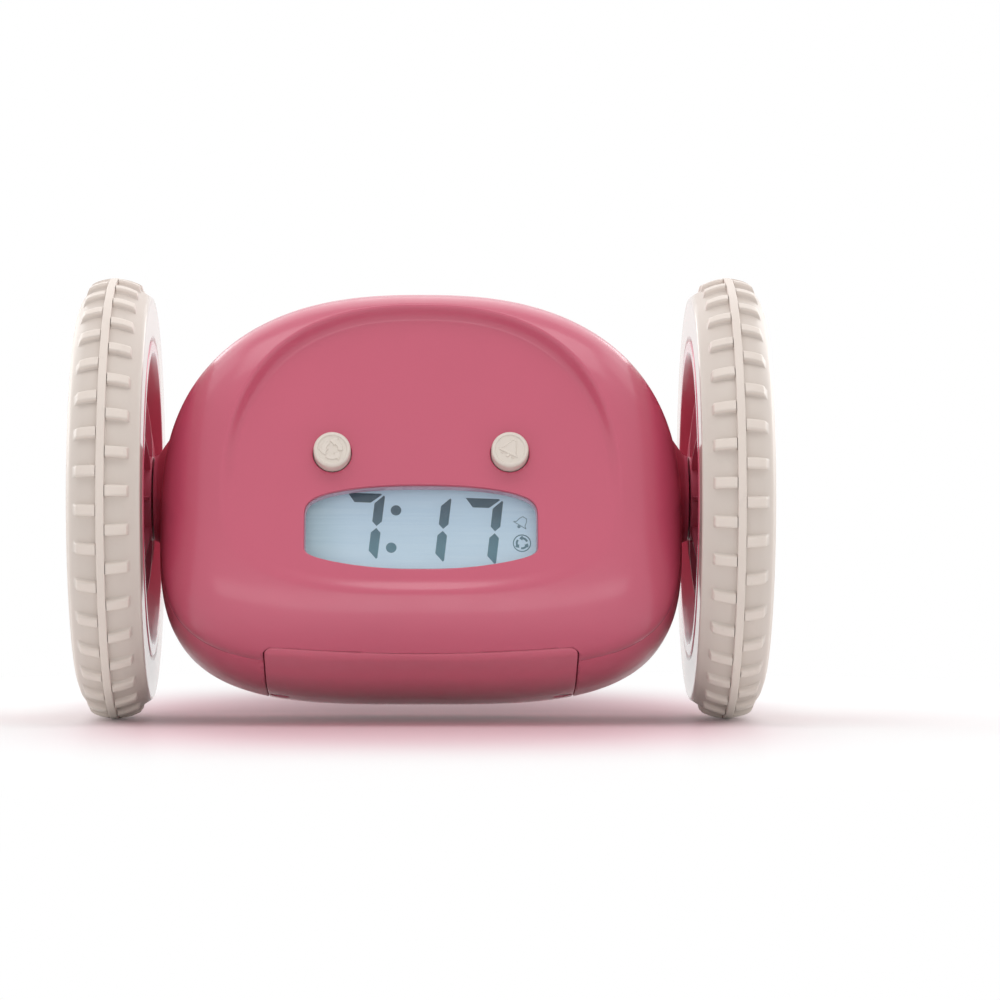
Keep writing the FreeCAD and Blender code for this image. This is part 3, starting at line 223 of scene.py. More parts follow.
class Maker:
    # one material and its node tree
    def __init__(self, name):
        self.material = bpy.data.materials.new(name)
        self.material.use_nodes = True
        self.tree = self.material.node_tree
        self.tree.nodes.clear()
        self.out = self.tree.nodes.new("ShaderNodeOutputMaterial")
        self.place = self.node("ShaderNodeTexCoord", {}, {}, "Object")

    def node(self, kind, settings, inputs, output=0):
        made = self.tree.nodes.new(kind)
        for name, value in settings.items():
            setattr(made, name, value)
        for name, value in inputs.items():
            if isinstance(value, Wire):
                self.tree.links.new(value.socket, made.inputs[name])
            else:
                made.inputs[name].default_value = value
        return Wire(self, made.outputs[output])

    def noise(self, scale, detail=2.0, rough=0.5, place=None):
        inputs = {"Vector": place or self.place, "Scale": scale, "Detail": detail, "Roughness": rough}
        return self.node("ShaderNodeTexNoise", {}, inputs)

    def mix(self, share, one, other):
        one = one if isinstance(one, Wire) else (*one, 1)
        other = other if isinstance(other, Wire) else (*other, 1)
        return self.node("ShaderNodeMix", {"data_type": "RGBA"}, {0: share, 6: one, 7: other}, 2)

    def ramp(self, share, low, high, fromLow, fromHigh):
        # low up to fromLow, high from fromHigh on, a smooth step between
        settings = {"interpolation_type": "SMOOTHSTEP"}
        inputs = {0: share, 1: fromLow, 2: fromHigh, 3: low, 4: high}
        return self.node("ShaderNodeMapRange", settings, inputs)

    def split(self, axis):
        return self.node("ShaderNodeSeparateXYZ", {}, {0: self.place}, axis)

    def fromAxle(self):
        # distance from the axle's line: the square root of y * y + up * up
        back, up = self.split("Y"), self.split("Z") - axleHeight / 1000
        square = back * back + up * up
        return square.math("SQRT", square)

    def bump(self, height, strength, distance):
        inputs = {"Strength": strength, "Distance": distance, "Height": height}
        return self.node("ShaderNodeBump", {}, inputs)

    def close(self, shader):
        self.tree.links.new(shader.socket, self.out.inputs[0])
        return self.material

    def finish(self, **inputs):
        # Base_Color stands for the socket Base Color, and so on
        names = {key.replace("_", " "): value for key, value in inputs.items()}
        return self.close(self.node("ShaderNodeBsdfPrincipled", {}, names))


def srgb(red, green, blue):
    # display levels from 0 to 255 to the linear values that the shaders take
    levels = np.array([red, green, blue]) / 255
    linear = np.where(levels <= 0.04045, levels / 12.92, ((levels + 0.055) / 1.055) ** 2.4)
    return tuple(float(v) for v in linear)


def scaled(color, share):
    return tuple(min(1.0, c * share) for c in color)


# the egg-shaped hull in the body's own frame, two domes that meet at the joint in front of the axle
hull = {
    "halfWidth": 51.6, "top": 39.7, "bottom": 40.7, "back": 36.0, "waist": -6.9,
    "jointDepth": 20.0, "jointHalfWidth": 50.6, "jointTop": 36.8, "jointBottom": 36.7,
    "nose": 10.8, "upperPower": 2.48, "lowerPower": 3.5, "jointLowerPower": 3.8,
    "backPower": 2.6, "swellPower": 2.4, "nosePower": 6.0, "frontLip": 0.1, "frontInset": 0.006,
    "rearLip": 0.14, "rearGroove": 0.13, "rearInset": 0.0065,
}
# painted shade in the gap between the shells: its strength, its width, where it fades beside the cover, and how dark it
# is
jointShade = {"strength": 0.65, "width": (0.0001, 0.00024), "beside": (0.033, 0.041), "dark": 0.25}


def jointShadeLine(maker):
    # 1 in the thin gap between the shells, where a dark line of painted shade goes, by depth in the body's own frame;
    # none beside the cover
    c, s = cos(tilt["body"]), sin(tilt["body"])
    depth = maker.split("Y") * c - (maker.split("Z") - axleHeight / 1000) * s + hull["jointDepth"] / 1000
    beside = maker.ramp(abs(maker.split("X")), 0.0, 1.0, *jointShade["beside"])
    return maker.ramp(abs(depth), jointShade["strength"], 0.0, *jointShade["width"]) * beside


def mouldedPlastic(name, color, roughness, grain=0.03, mottle=0.06, coat=0.0, polish=0.18, shadedJoint=False):
    # a soft change of tone over the piece, a fine moulded grain, a little wear in the gloss, and on the shells painted
    # shade along the joint's gap
    maker = Maker(name)
    broad = maker.noise(28, 3)
    fine = maker.noise(1000 / 0.35, 2)  # grain of 0.35 mm
    scuffs = maker.noise(180, 4, 0.6)
    tone = maker.mix(broad, scaled(color, 1 - mottle), scaled(color, 1 + mottle))
    tone = maker.mix(maker.ramp(fine, 0.0, 0.05, 0.35, 0.65), tone, scaled(color, 0.8))
    # the joint's gap gets a dark line of painted shade
    if shadedJoint:
        tone = maker.mix(jointShadeLine(maker), tone, scaled(color, jointShade["dark"]))
    shine = maker.ramp(scuffs, roughness - 0.04, roughness + 0.05, 0.3, 0.7)
    relief = maker.bump(fine + scuffs * 0.4, grain, 0.0002)
    return maker.finish(
        Base_Color=tone, Roughness=shine, Normal=relief, Specular_IOR_Level=0.5, Coat_Weight=coat,
        Coat_Roughness=polish,
    )


def metal(name, color, roughness, brushed=0.0):
    # smears change tone and gloss, and fine lines stand up a little more where it is brushed
    maker = Maker(name)
    smear = maker.noise(90, 4, 0.6)
    lines = maker.noise(2600, 2, 0.5)
    tone = maker.mix(smear, scaled(color, 0.86), scaled(color, 1.08))
    shine = maker.ramp(smear, roughness - 0.06, roughness + 0.08, 0.3, 0.7)
    relief = maker.bump(lines, 0.04 + brushed, 0.0001)
    return maker.finish(Base_Color=tone, Roughness=shine, Metallic=1.0, Normal=relief)


def softRubber(name, color, roughness):
    # dull, with a broad change of tone and gloss and a fine rough relief
    maker = Maker(name)
    broad = maker.noise(35, 3)
    tone = maker.mix(broad, scaled(color, 0.94), scaled(color, 1.03))
    relief = maker.bump(maker.noise(1800, 3, 0.6), 0.12, 0.0002)
    shine = maker.ramp(broad, roughness - 0.05, roughness + 0.06, 0.3, 0.7)
    return maker.finish(Base_Color=tone, Roughness=shine, Normal=relief, Specular_IOR_Level=0.35)


# groove is how dark the painted shade in the tread's grooves is; the two ranges after it bound where that shade falls
tyreSurface = {
    "rib": 0.0609, "tread": 0.0428, "crown": 0.019, "wall": (0.0537, 0.0545), "wallCoat": 0.85, "groove": 0.86,
    "grooveShadeTop": (0.0002, 0.0009), "grooveShadeFoot": (-0.0013, -0.0005), "dust": 0.1, "dull": (0.37, 0.48),
}


def tyreRubber(name, color):
    # a polished inner side wall, a dull tread, and painted shade down in the grooves
    maker = Maker(name)
    along = abs(maker.split("X"))
    fromRib = along - tyreSurface["rib"]
    rise = maker.fromAxle() - (tyreSurface["tread"] - fromRib * fromRib / tyreSurface["crown"])
    # painted shade: 1 down in a groove between the lugs, 0 on the lug tops and off the tread
    groove = maker.ramp(rise, 1.0, 0.0, *tyreSurface["grooveShadeTop"])
    groove = groove * maker.ramp(rise, 0.0, 1.0, *tyreSurface["grooveShadeFoot"])
    broad, fine = maker.noise(35, 3), maker.noise(1800, 3, 0.6)
    tone = maker.mix(broad, scaled(color, 0.95), scaled(color, 1.03))
    tone = maker.mix(groove, tone, scaled(color, tyreSurface["groove"]))
    dust = maker.ramp(maker.noise(420, 2), 0.0, tyreSurface["dust"], 0.62, 0.72)
    tone = maker.mix(dust, tone, scaled(color, 0.7))
    wall = maker.ramp(along, tyreSurface["wallCoat"], 0.0, *tyreSurface["wall"])
    shine = maker.ramp(broad, *tyreSurface["dull"], 0.3, 0.7)
    return maker.finish(
        Base_Color=tone, Roughness=shine, Normal=maker.bump(fine, 0.08, 0.0001), Specular_IOR_Level=0.4,
        Coat_Weight=wall, Coat_Roughness=0.05,
    )


wheelSurface = {"lip": (0.0284, 0.0291), "bowlCoat": 0.0, "lipCoat": 0.9, "dull": (0.32, 0.40)}


def wheelPlastic(name, color):
    # moulded plastic whose flat outer lip is polished, and whose bowl is duller
    maker = Maker(name)
    broad, scuffs = maker.noise(28, 3), maker.noise(180, 4, 0.6)
    tone = maker.mix(broad, scaled(color, 0.95), scaled(color, 1.05))
    polished = maker.ramp(maker.fromAxle(), wheelSurface["bowlCoat"], wheelSurface["lipCoat"], *wheelSurface["lip"])
    shine = maker.ramp(scuffs, *wheelSurface["dull"], 0.3, 0.7)
    relief = maker.bump(maker.noise(2800, 2), 0.03, 0.0002)
    return maker.finish(
        Base_Color=tone, Roughness=shine, Normal=relief, Specular_IOR_Level=0.25, Coat_Weight=polished,
        Coat_Roughness=0.07,
    )


palette = {
    # the front shell's pink is a darker copy of the shells' pink: painted shade that tones down the lit front
    "frontPinkShaded": srgb(191, 79, 105),
    "rearPink": srgb(198, 88, 112),
    "coverPink": srgb(202, 94, 117),
    "wheelPink": srgb(204, 91, 115),
    "tyreWhite": srgb(220, 208, 199),
    "buttonWhite": srgb(216, 206, 196),
    "lensEdge": srgb(176, 148, 168),
    "keyGrey": srgb(132, 126, 128),
    "trayBlack": srgb(52, 52, 54),
    "gearWhite": srgb(226, 222, 212),
    "gearboxGrey": srgb(108, 108, 112),
    "steel": srgb(176, 176, 178),
    "zinc": srgb(196, 196, 198),
    "brass": srgb(204, 170, 96),
    "boardGreen": srgb(34, 96, 60),
    "chipBlack": srgb(30, 30, 32),
    "silicone": srgb(168, 168, 170),
    "jacket": srgb(74, 84, 92),
    "copper": srgb(196, 132, 84),
}
finishes = {
    "frontPinkShaded": mouldedPlastic("pink_shell_front", palette["frontPinkShaded"], 0.34, coat=0.6, polish=0.15, shadedJoint=True),
    "rearPink": mouldedPlastic("pink_shell_rear", palette["rearPink"], 0.36, coat=0.2, polish=0.3, shadedJoint=True),
    "coverPink": mouldedPlastic("pink_cover", palette["coverPink"], 0.38, coat=0.6),
    "wheelPink": wheelPlastic("pink_wheel", palette["wheelPink"]),
    "lensEdge": mouldedPlastic("lens_edge", palette["lensEdge"], 0.25, mottle=0.03, coat=0.5, polish=0.1),
    "buttonWhite": mouldedPlastic("white_button", palette["buttonWhite"], 0.46, mottle=0.03),
    "keyGrey": mouldedPlastic("grey_key", palette["keyGrey"], 0.45, mottle=0.04),
    "trayBlack": mouldedPlastic("black_tray", palette["trayBlack"], 0.5, grain=0.1),
    "gearWhite": mouldedPlastic("white_gear", palette["gearWhite"], 0.42, mottle=0.03),
    "gearboxGrey": mouldedPlastic("grey_gearbox", palette["gearboxGrey"], 0.5, grain=0.1),
    "chipBlack": mouldedPlastic("black_chip", palette["chipBlack"], 0.55, grain=0.15),
    "tyreWhite": tyreRubber("white_tyre", palette["tyreWhite"]),
    "silicone": softRubber("grey_silicone", palette["silicone"], 0.5),
    "steel": metal("brushed_steel", palette["steel"], 0.34, brushed=0.06),
    "zinc": metal("plated_zinc", palette["zinc"], 0.28),
    "brass": metal("turned_brass", palette["brass"], 0.3, brushed=0.03),
    "motorCan": metal("motor_can", palette["steel"], 0.38, brushed=0.08),
    "magnet": metal("dark_magnet", srgb(92, 92, 96), 0.42),
}


def boardMaterial():
    # solder mask over a net of darker copper tracks, with pale pads
    maker = Maker("green_board")
    cells = maker.node("ShaderNodeTexVoronoi", {"distance": "MANHATTAN"}, {"Vector": maker.place, "Scale": 420})
    tracks = maker.ramp(cells, 1.0, 0.0, 0.0, 0.5)
    pads = maker.node("ShaderNodeTexVoronoi", {}, {"Vector": maker.place, "Scale": 260, "Randomness": 0.35})
    tone = maker.mix(tracks, scaled(palette["boardGreen"], 0.7), scaled(palette["boardGreen"], 1.4))
    tone = maker.mix(maker.ramp(pads, 1.0, 0.0, 0.10, 0.14), tone, palette["zinc"])
    relief = maker.bump(tracks, 0.2, 0.0002)
    return maker.finish(Base_Color=tone, Roughness=0.35, Normal=relief, Coat_Weight=0.4)


def jacketMaterial():
    # a plain foil sleeve: dark with one pale band towards the nub, by distance along X
    maker = Maker("cell_sleeve")
    along = abs(maker.split("X"))
    band = maker.ramp(along, 0.0, 1.0, 0.0135, 0.0138)
    tone = maker.mix(band, scaled(palette["jacket"], 0.55), palette["copper"])
    ends = maker.ramp(along, 0.0, 1.0, 0.0243, 0.0246)
    tone = maker.mix(ends, tone, palette["zinc"])
    shine = maker.ramp(maker.noise(60, 3), 0.22, 0.34, 0.3, 0.7)
    return maker.finish(Base_Color=tone, Roughness=shine, Metallic=0.55, Coat_Weight=0.3)


def coneMaterial():
    # dull dark paper with a fibrous relief
    maker = Maker("paper_cone")
    fibres = maker.noise(1400, 5, 0.7)
    tone = maker.mix(fibres, srgb(38, 37, 36), srgb(66, 64, 62))
    return maker.finish(Base_Color=tone, Roughness=0.8, Normal=maker.bump(fibres, 0.3, 0.0002))


def lensMaterial():
    # clear moulding: lets everything through except the mirror part given by Fresnel
    maker = Maker("clear_lens")
    clear = maker.node("ShaderNodeBsdfTransparent", {}, {"Color": (0.93, 0.96, 0.97, 1)})
    shine = maker.ramp(maker.noise(300, 3), 0.10, 0.16, 0.3, 0.7)
    gloss = maker.node("ShaderNodeBsdfGlossy", {}, {"Roughness": shine})
    share = maker.node("ShaderNodeFresnel", {}, {"IOR": 1.38})
    return maker.close(maker.node("ShaderNodeMixShader", {}, {0: share, 1: clear, 2: gloss}))


# high is painted shade at the top of the reflector, left painted shade at its left edge, lift the strength of a painted
# glow
displayTones = {"high": srgb(194, 208, 224), "low": srgb(220, 232, 243), "left": srgb(172, 190, 198), "lift": 0.27}
# the segments' high tone is painted shade at the top of the glass
segmentTones = {"high": srgb(80, 100, 116), "low": srgb(120, 158, 172), "faint": srgb(138, 160, 174)}


def displayMaterial():
    # the reflector behind the crystal: cool grey, with painted shade from the window's walls that makes it cooler and
    # darker near its upper left
    maker = Maker("display_reflector")
    brushed = maker.node("ShaderNodeMapping", {}, {0: maker.place, 3: (60, 60, 2200)})
    lines = maker.noise(1.0, 3, 0.6, brushed)
    # painted shade from the window's walls: darker towards the top, and at the left edge below
    shadeTowardsTop = maker.ramp(maker.split("Z"), 0.0, 1.0, 0.026, 0.047)
    tone = maker.mix(shadeTowardsTop, displayTones["low"], displayTones["high"])
    leftShade = maker.ramp(maker.split("X"), 0.85, 0.0, -0.024, -0.012)
    tone = maker.mix(leftShade, tone, displayTones["left"])
    tone = maker.mix(maker.ramp(lines, 0.0, 0.10, 0.3, 0.7), tone, (1, 1, 1))
    # the emission is a painted glow that brightens the whole reflector; it is no lamp
    return maker.finish(
        Base_Color=tone, Roughness=0.5, Normal=maker.bump(lines, 0.02, 0.0001), Emission_Color=tone,
        Emission_Strength=displayTones["lift"],
    )


def segmentMaterial():
    # switched-on segments: dark slate, darker at the top of the glass by painted shade, greener towards its foot
    maker = Maker("display_segments")
    grain = maker.noise(900, 2)
    shadeTowardsTop = maker.ramp(maker.split("Z"), 0.0, 1.0, 0.033, 0.043)
    tone = maker.mix(shadeTowardsTop, segmentTones["low"], segmentTones["high"])
    tone = maker.mix(grain * 0.1, tone, displayTones["low"])
    return maker.finish(Base_Color=tone, Roughness=0.5)


def faintMaterial():
    # the paler slate of the little bell
    maker = Maker("display_faint")
    grain = maker.noise(900, 2)
    tone = maker.mix(grain, scaled(segmentTones["faint"], 0.96), scaled(segmentTones["faint"], 1.05))
    return maker.finish(Base_Color=tone, Roughness=0.5)


finishes["boardGreen"] = boardMaterial()
finishes["jacket"] = jacketMaterial()
finishes["paperCone"] = coneMaterial()
finishes["lens"] = lensMaterial()
finishes["display"] = displayMaterial()
finishes["segments"] = segmentMaterial()
finishes["faintSegments"] = faintMaterial()
print("materials made:", len(finishes))

# half width and the heights above and below the widest level, which lies under the axle
jointSizes = np.array([hull["jointHalfWidth"], hull["jointTop"] - hull["waist"], hull["jointBottom"] + hull["waist"]])
axleSizes = np.array([hull["halfWidth"], hull["top"] - hull["waist"], hull["bottom"] + hull["waist"]])


def hullSizes(y):
    # half width, top, bottom and lower power of the section at each depth
    y = np.asarray(y, float)
    share = np.clip((y + hull["jointDepth"]) / hull["jointDepth"], 0, 1)[..., None]
    power = hull["swellPower"]
    reach = (1 - (jointSizes / axleSizes) ** power) ** (1 / power)
    sizes = axleSizes * (1 - (reach * (1 - share)) ** power) ** (1 / power)
    noseShare = np.clip((-hull["jointDepth"] - y) / hull["nose"], 0, 1)
    backShare = np.clip(y / hull["back"], 0, 1)
    sizes = sizes * ((1 - noseShare ** 2) ** (1 / hull["nosePower"]))[..., None]
    sizes = sizes * ((1 - backShare ** hull["backPower"]) ** (1 / hull["backPower"]))[..., None]
    lower = hull["jointLowerPower"] + share[..., 0] * (hull["lowerPower"] - hull["jointLowerPower"])
    return sizes[..., 0], sizes[..., 1], sizes[..., 2], lower


def hullSection(y, angle):
    # the superellipse of the section at depth y, met by a ray at that angle
    a, top, bottom, lower = hullSizes(y)
    up = np.sin(angle) >= 0
    height, power = np.where(up, top, bottom), np.where(up, hull["upperPower"], lower)
    reach = (np.abs(np.cos(angle) / a) ** power + np.abs(np.sin(angle) / height) ** power) ** (-1 / power)
    return np.stack([reach * np.cos(angle), np.broadcast_to(y, reach.shape), hull["waist"] + reach * np.sin(angle)], -1)


def superNorm(x, z, halfWidth, top, bottom, upper, lower):
    # 1 on the superellipse, less inside it
    height, power = np.where(z >= 0, top, bottom), np.where(z >= 0, upper, lower)
    return (np.abs(x / halfWidth) ** power + np.abs(z / height) ** power) ** (1 / power)


def jointNorm(x, z):
    return superNorm(x, z - hull["waist"], *jointSizes, hull["upperPower"], hull["jointLowerPower"])


def hullFront(x, z):
    # depth in front of the axle of the unhollowed nose
    ratio = jointNorm(x, z)
    return hull["jointDepth"] + hull["nose"] * np.sqrt(np.clip(1 - ratio ** hull["nosePower"], 0, 1))


def hullBack(x, z):
    # depth behind the axle of the back dome
    ratio = superNorm(x, z - hull["waist"], *axleSizes, hull["upperPower"], hull["lowerPower"])
    return hull["back"] * np.clip(1 - ratio ** hull["backPower"], 0, 1) ** (1 / hull["backPower"])


def hullBottom(x, y):
    # how far below the axle the skin is
    a, _, bottom, lower = hullSizes(y)
    return bottom * np.clip(1 - np.abs(x / a) ** lower, 0, 1) ** (1 / lower) - hull["waist"]


def outlineRadius(angle, inside, far):
    # distance from the centre to a star-shaped outline, by halving
    low, high = np.zeros_like(angle), np.full_like(angle, far)
    for _ in range(34):
        middle = (low + high) / 2
        within = inside(middle * np.cos(angle), middle * np.sin(angle))
        low, high = np.where(within, middle, low), np.where(within, high, middle)
    return (low + high) / 2


def pierce(points, quads, centre, radius, plane, lift, near, rings=(), axis=None, snap=0.12, closed=True):
    # Cuts a star-shaped hole: cells inside it go, and the vertices that are left inside
    # move onto its outline. rings are (growth, depth) steps that line the hole's wall.
    a, b = points[:, plane[0]] - centre[0], points[:, plane[1]] - centre[1]
    angle, reach = np.arctan2(b, a), np.hypot(a, b)
    edge = radius(angle)
    inside = (reach < edge + snap) & near(points)
    flags = inside[quads]
    quads = quads[~flags.all(1)]
    used = np.zeros(len(points), bool)
    used[quads.ravel()] = True
    moved = np.flatnonzero(inside & used)
    points = points.copy()
    points[moved] = lift(centre[0] + edge[moved] * np.cos(angle[moved]), centre[1] + edge[moved] * np.sin(angle[moved]))
    sides = np.stack([quads, np.roll(quads, -1, 1)], -1).reshape(-1, 2)
    sides = sides[inside[sides].all(1)]
    keys = np.sort(sides, 1)
    _, first, count = np.unique(keys, axis=0, return_index=True, return_counts=True)
    rim = sides[first[count == 1]]
    loop = np.unique(rim)
    loop = loop[np.argsort(angle[loop])]
    if not closed:  # starts after the widest step, where the outline leaves the skin
        steps = np.diff(np.append(angle[loop], angle[loop[0]] + 2 * pi))
        loop = np.roll(loop, -1 - np.argmax(steps))
    # the skin's own winding says which way round the lining's cells go
    nextOf = dict(zip(rim[:, 0].tolist(), rim[:, 1].tolist()))
    forward = sum(nextOf.get(int(one)) == int(two) for one, two in zip(loop[:-1], loop[1:]))
    turned = forward * 2 > len(loop)
    start, added = len(points), []
    for growth, depth in rings:
        at = edge[loop] + growth
        ring = lift(centre[0] + at * np.cos(angle[loop]), centre[1] + at * np.sin(angle[loop]))
        added.append(ring + np.asarray(axis) * depth)
    if added:
        count = len(loop)
        number = np.concatenate([loop, np.arange(start, start + count * len(added))])
        cells = number[gridFaces(len(added) + 1, count, closed)]
        quads = np.concatenate([quads, cells[:, ::-1] if turned else cells])
        points = np.concatenate([points, *added])
    return points, quads, loop


def everywhere(points):
    return np.ones(len(points), bool)


def dropFolded(points, quads):
    # cells beside the battery opening that the cut has turned over are left out
    corner = points[quads]
    normal = np.cross(corner[:, 2] - corner[:, 0], corner[:, 3] - corner[:, 1])
    facing = normal[:, 2] / np.maximum(np.linalg.norm(normal, axis=1), 1e-9)
    low = (corner[..., 2].max(1) < cover["underFront"]) & (np.abs(corner[..., 0]).max(1) < cover["foldWithin"])
    usual = np.sign(np.median(facing[low]))
    return quads[~(low & (facing * usual < cover["leastFacing"]))]


def lipRings(radius, depth, steps=5):
    # a quarter round of that radius and then a straight wall
    turn = np.linspace(0, pi / 2, steps + 1)[1:]
    rings = [(-radius * sin(t), radius * (1 - cos(t))) for t in turn]
    return rings + [(-radius, depth * 0.6 + radius * 0.4), (-radius, depth)]


# front shell: nose, hollow D-shaped face, window and button holes
face = {
    "halfWidth": 38.6, "up": 39.6, "down": 17.6, "middle": -6.0, "upperPower": 2.4, "lowerPower": 2.8,
    "lipOut": 0.5, "lipIn": 3.0, "blend": 0.5, "columns": 432, "wall": 1.3,
}
window = {
    "middle": -11.5, "halfWidth": 22.5, "up": 9.45, "down": 7.35, "archUp": 0.26, "archDown": 0.37,
    "archPower": 2.2, "upperCorner": 7.0, "lowerCorner": 12.0, "bevel": 0.34, "depth": 2.55,
}
faceButton = {"x": 17.2, "z": 4.2, "radius": 3.6, "gap": 0.14, "edge": 0.2, "depth": 1.75}
# under and underFront tell the body's underside by height; flush is how far beside the cover the
# joint's groove comes back; easeSteps and easeReach smooth the cover over the joint
cover = {
    "halfWidth": 30.3, "seam": 0.26, "drop": 35.1, "bow": 1.3, "back": 24.0, "corner": 2.0, "middle": -1.0,
    "slope": 1.6, "edge": 0.3, "wall": 1.7, "columns": 420, "rows": 46, "screwX": 28.0, "screwY": 2.0,
    "screwHole": 2.05, "under": -20, "underFront": -30, "flush": (1.5, 8.0), "foldWithin": 34, "leastFacing": 0.05,
    "easeSteps": (-2.4, -1.6, -0.8, 0.0, 0.8, 1.6, 2.4), "easeReach": (2.4, 5.5),
}


def faceNorm(x, z):
    sizes = (face["halfWidth"], face["up"], face["down"], face["upperPower"], face["lowerPower"])
    return superNorm(x, z - face["middle"], *sizes)


def faceEdge(x, z):
    # how far a point is inside the face's D-shaped outline: the norm's lack over its slope
    step = 0.02
    slopeX = (faceNorm(x + step, z) - faceNorm(x - step, z)) / (2 * step)
    slopeZ = (faceNorm(x, z + step) - faceNorm(x, z - step)) / (2 * step)
    return (1 - faceNorm(x, z)) / np.hypot(slopeX, slopeZ)


def faceSphere(x, z):
    # depth in front of the axle of the hollow face's ball
    c, s = cos(tilt["face"]), sin(tilt["face"])
    centreOut, centreUp = faceSpot["depth"] + faceSpot["radius"] * c, faceSpot["radius"] * s - faceSpot["drop"]
    return centreOut - np.sqrt(faceSpot["radius"] ** 2 - x ** 2 - (z - centreUp) ** 2)


def frontDepth(x, z):
    # the nose, lowered inside the face's outline to the hollow ball where that lies deeper;
    # the step is quick at the lip and eases out at its foot: 1 - (1 - t)^3 (1 + 3t)
    t = np.clip((faceEdge(x, z) + face["lipOut"]) / (face["lipOut"] + face["lipIn"]), 0, 1)
    inner = 1 - (1 - t) ** 3 * (1 + 3 * t)
    nose = hullFront(x, z)
    below = nose - faceSphere(x, z)
    soft = (below + np.sqrt(below ** 2 + face["blend"] ** 2)) / 2
    return nose - inner * soft


def liftFront(x, z):
    return np.stack([x, -frontDepth(x, z), z], -1)


def liftBottom(x, y):
    return np.stack([x, y, -hullBottom(x, y)], -1)


def coverBottom(x, y):
    # the skin's drop averaged over a short run, so the crease at the joint is eased across the cover
    return sum(hullBottom(x, y + step) for step in cover["easeSteps"]) / len(cover["easeSteps"])


def insideWindow(a, b):
    share = np.abs(a / window["halfWidth"])
    up = b >= 0
    arch = np.where(up, window["archUp"], window["archDown"])
    height = np.where(up, window["up"], window["down"]) * np.clip(1 - arch * share ** window["archPower"], 0.05, 1)
    corner = np.where(up, window["upperCorner"], window["lowerCorner"])
    return share ** corner + np.abs(b / height) ** corner < 1


def coverGap(a, y):
    # how far the skin hangs below the cover's front edge, which bows down in the middle
    edge = cover["drop"] - cover["bow"] * (a / 30) ** 2
    return hullBottom(np.clip(a, -49, 49), y) - edge


def partingDepth(points):
    # 1 along the parting line, falling to 0 beside the battery cover, where the halves meet flush
    near, far = (cover["halfWidth"] + reach for reach in cover["flush"])
    beside = smoothStep(np.abs(points[:, 0]), near, far)
    return np.where(points[:, 2] < cover["under"], beside, 1.0)


def squareRows(rows):
    # each row's nearest column is set on the straight side of the battery opening, on the skin
    edge = cover["halfWidth"] + cover["seam"]
    for row in rows:
        for side in (-1, 1):
            above = np.where(row[:, 2] > cover["under"], 100, 0)  # keeps points of the upper half out
            near = np.argmin(np.abs(row[:, 0] - side * edge) + above)
            row[near] = (side * edge, row[near, 1], -hullBottom(side * edge, row[near, 1]))


def insideCover(grown):
    # the battery cover's rounded outline about the cover's own middle; b runs back
    def inside(a, b):
        y = b + cover["middle"]
        r = cover["corner"] + grown
        gapX, gapBack = cover["halfWidth"] + grown - np.abs(a), cover["back"] + grown - y
        gapFront = coverGap(a, y) * cover["slope"] + grown
        square = (gapX > 0) & (gapBack > 0) & (gapFront > 0)
        cornerBack = np.hypot(np.maximum(r - gapX, 0), np.maximum(r - gapBack, 0)) < r
        cornerFront = np.hypot(np.maximum(r - gapX, 0), np.maximum(r - gapFront, 0)) < r
        return square & cornerBack & cornerFront
    return inside


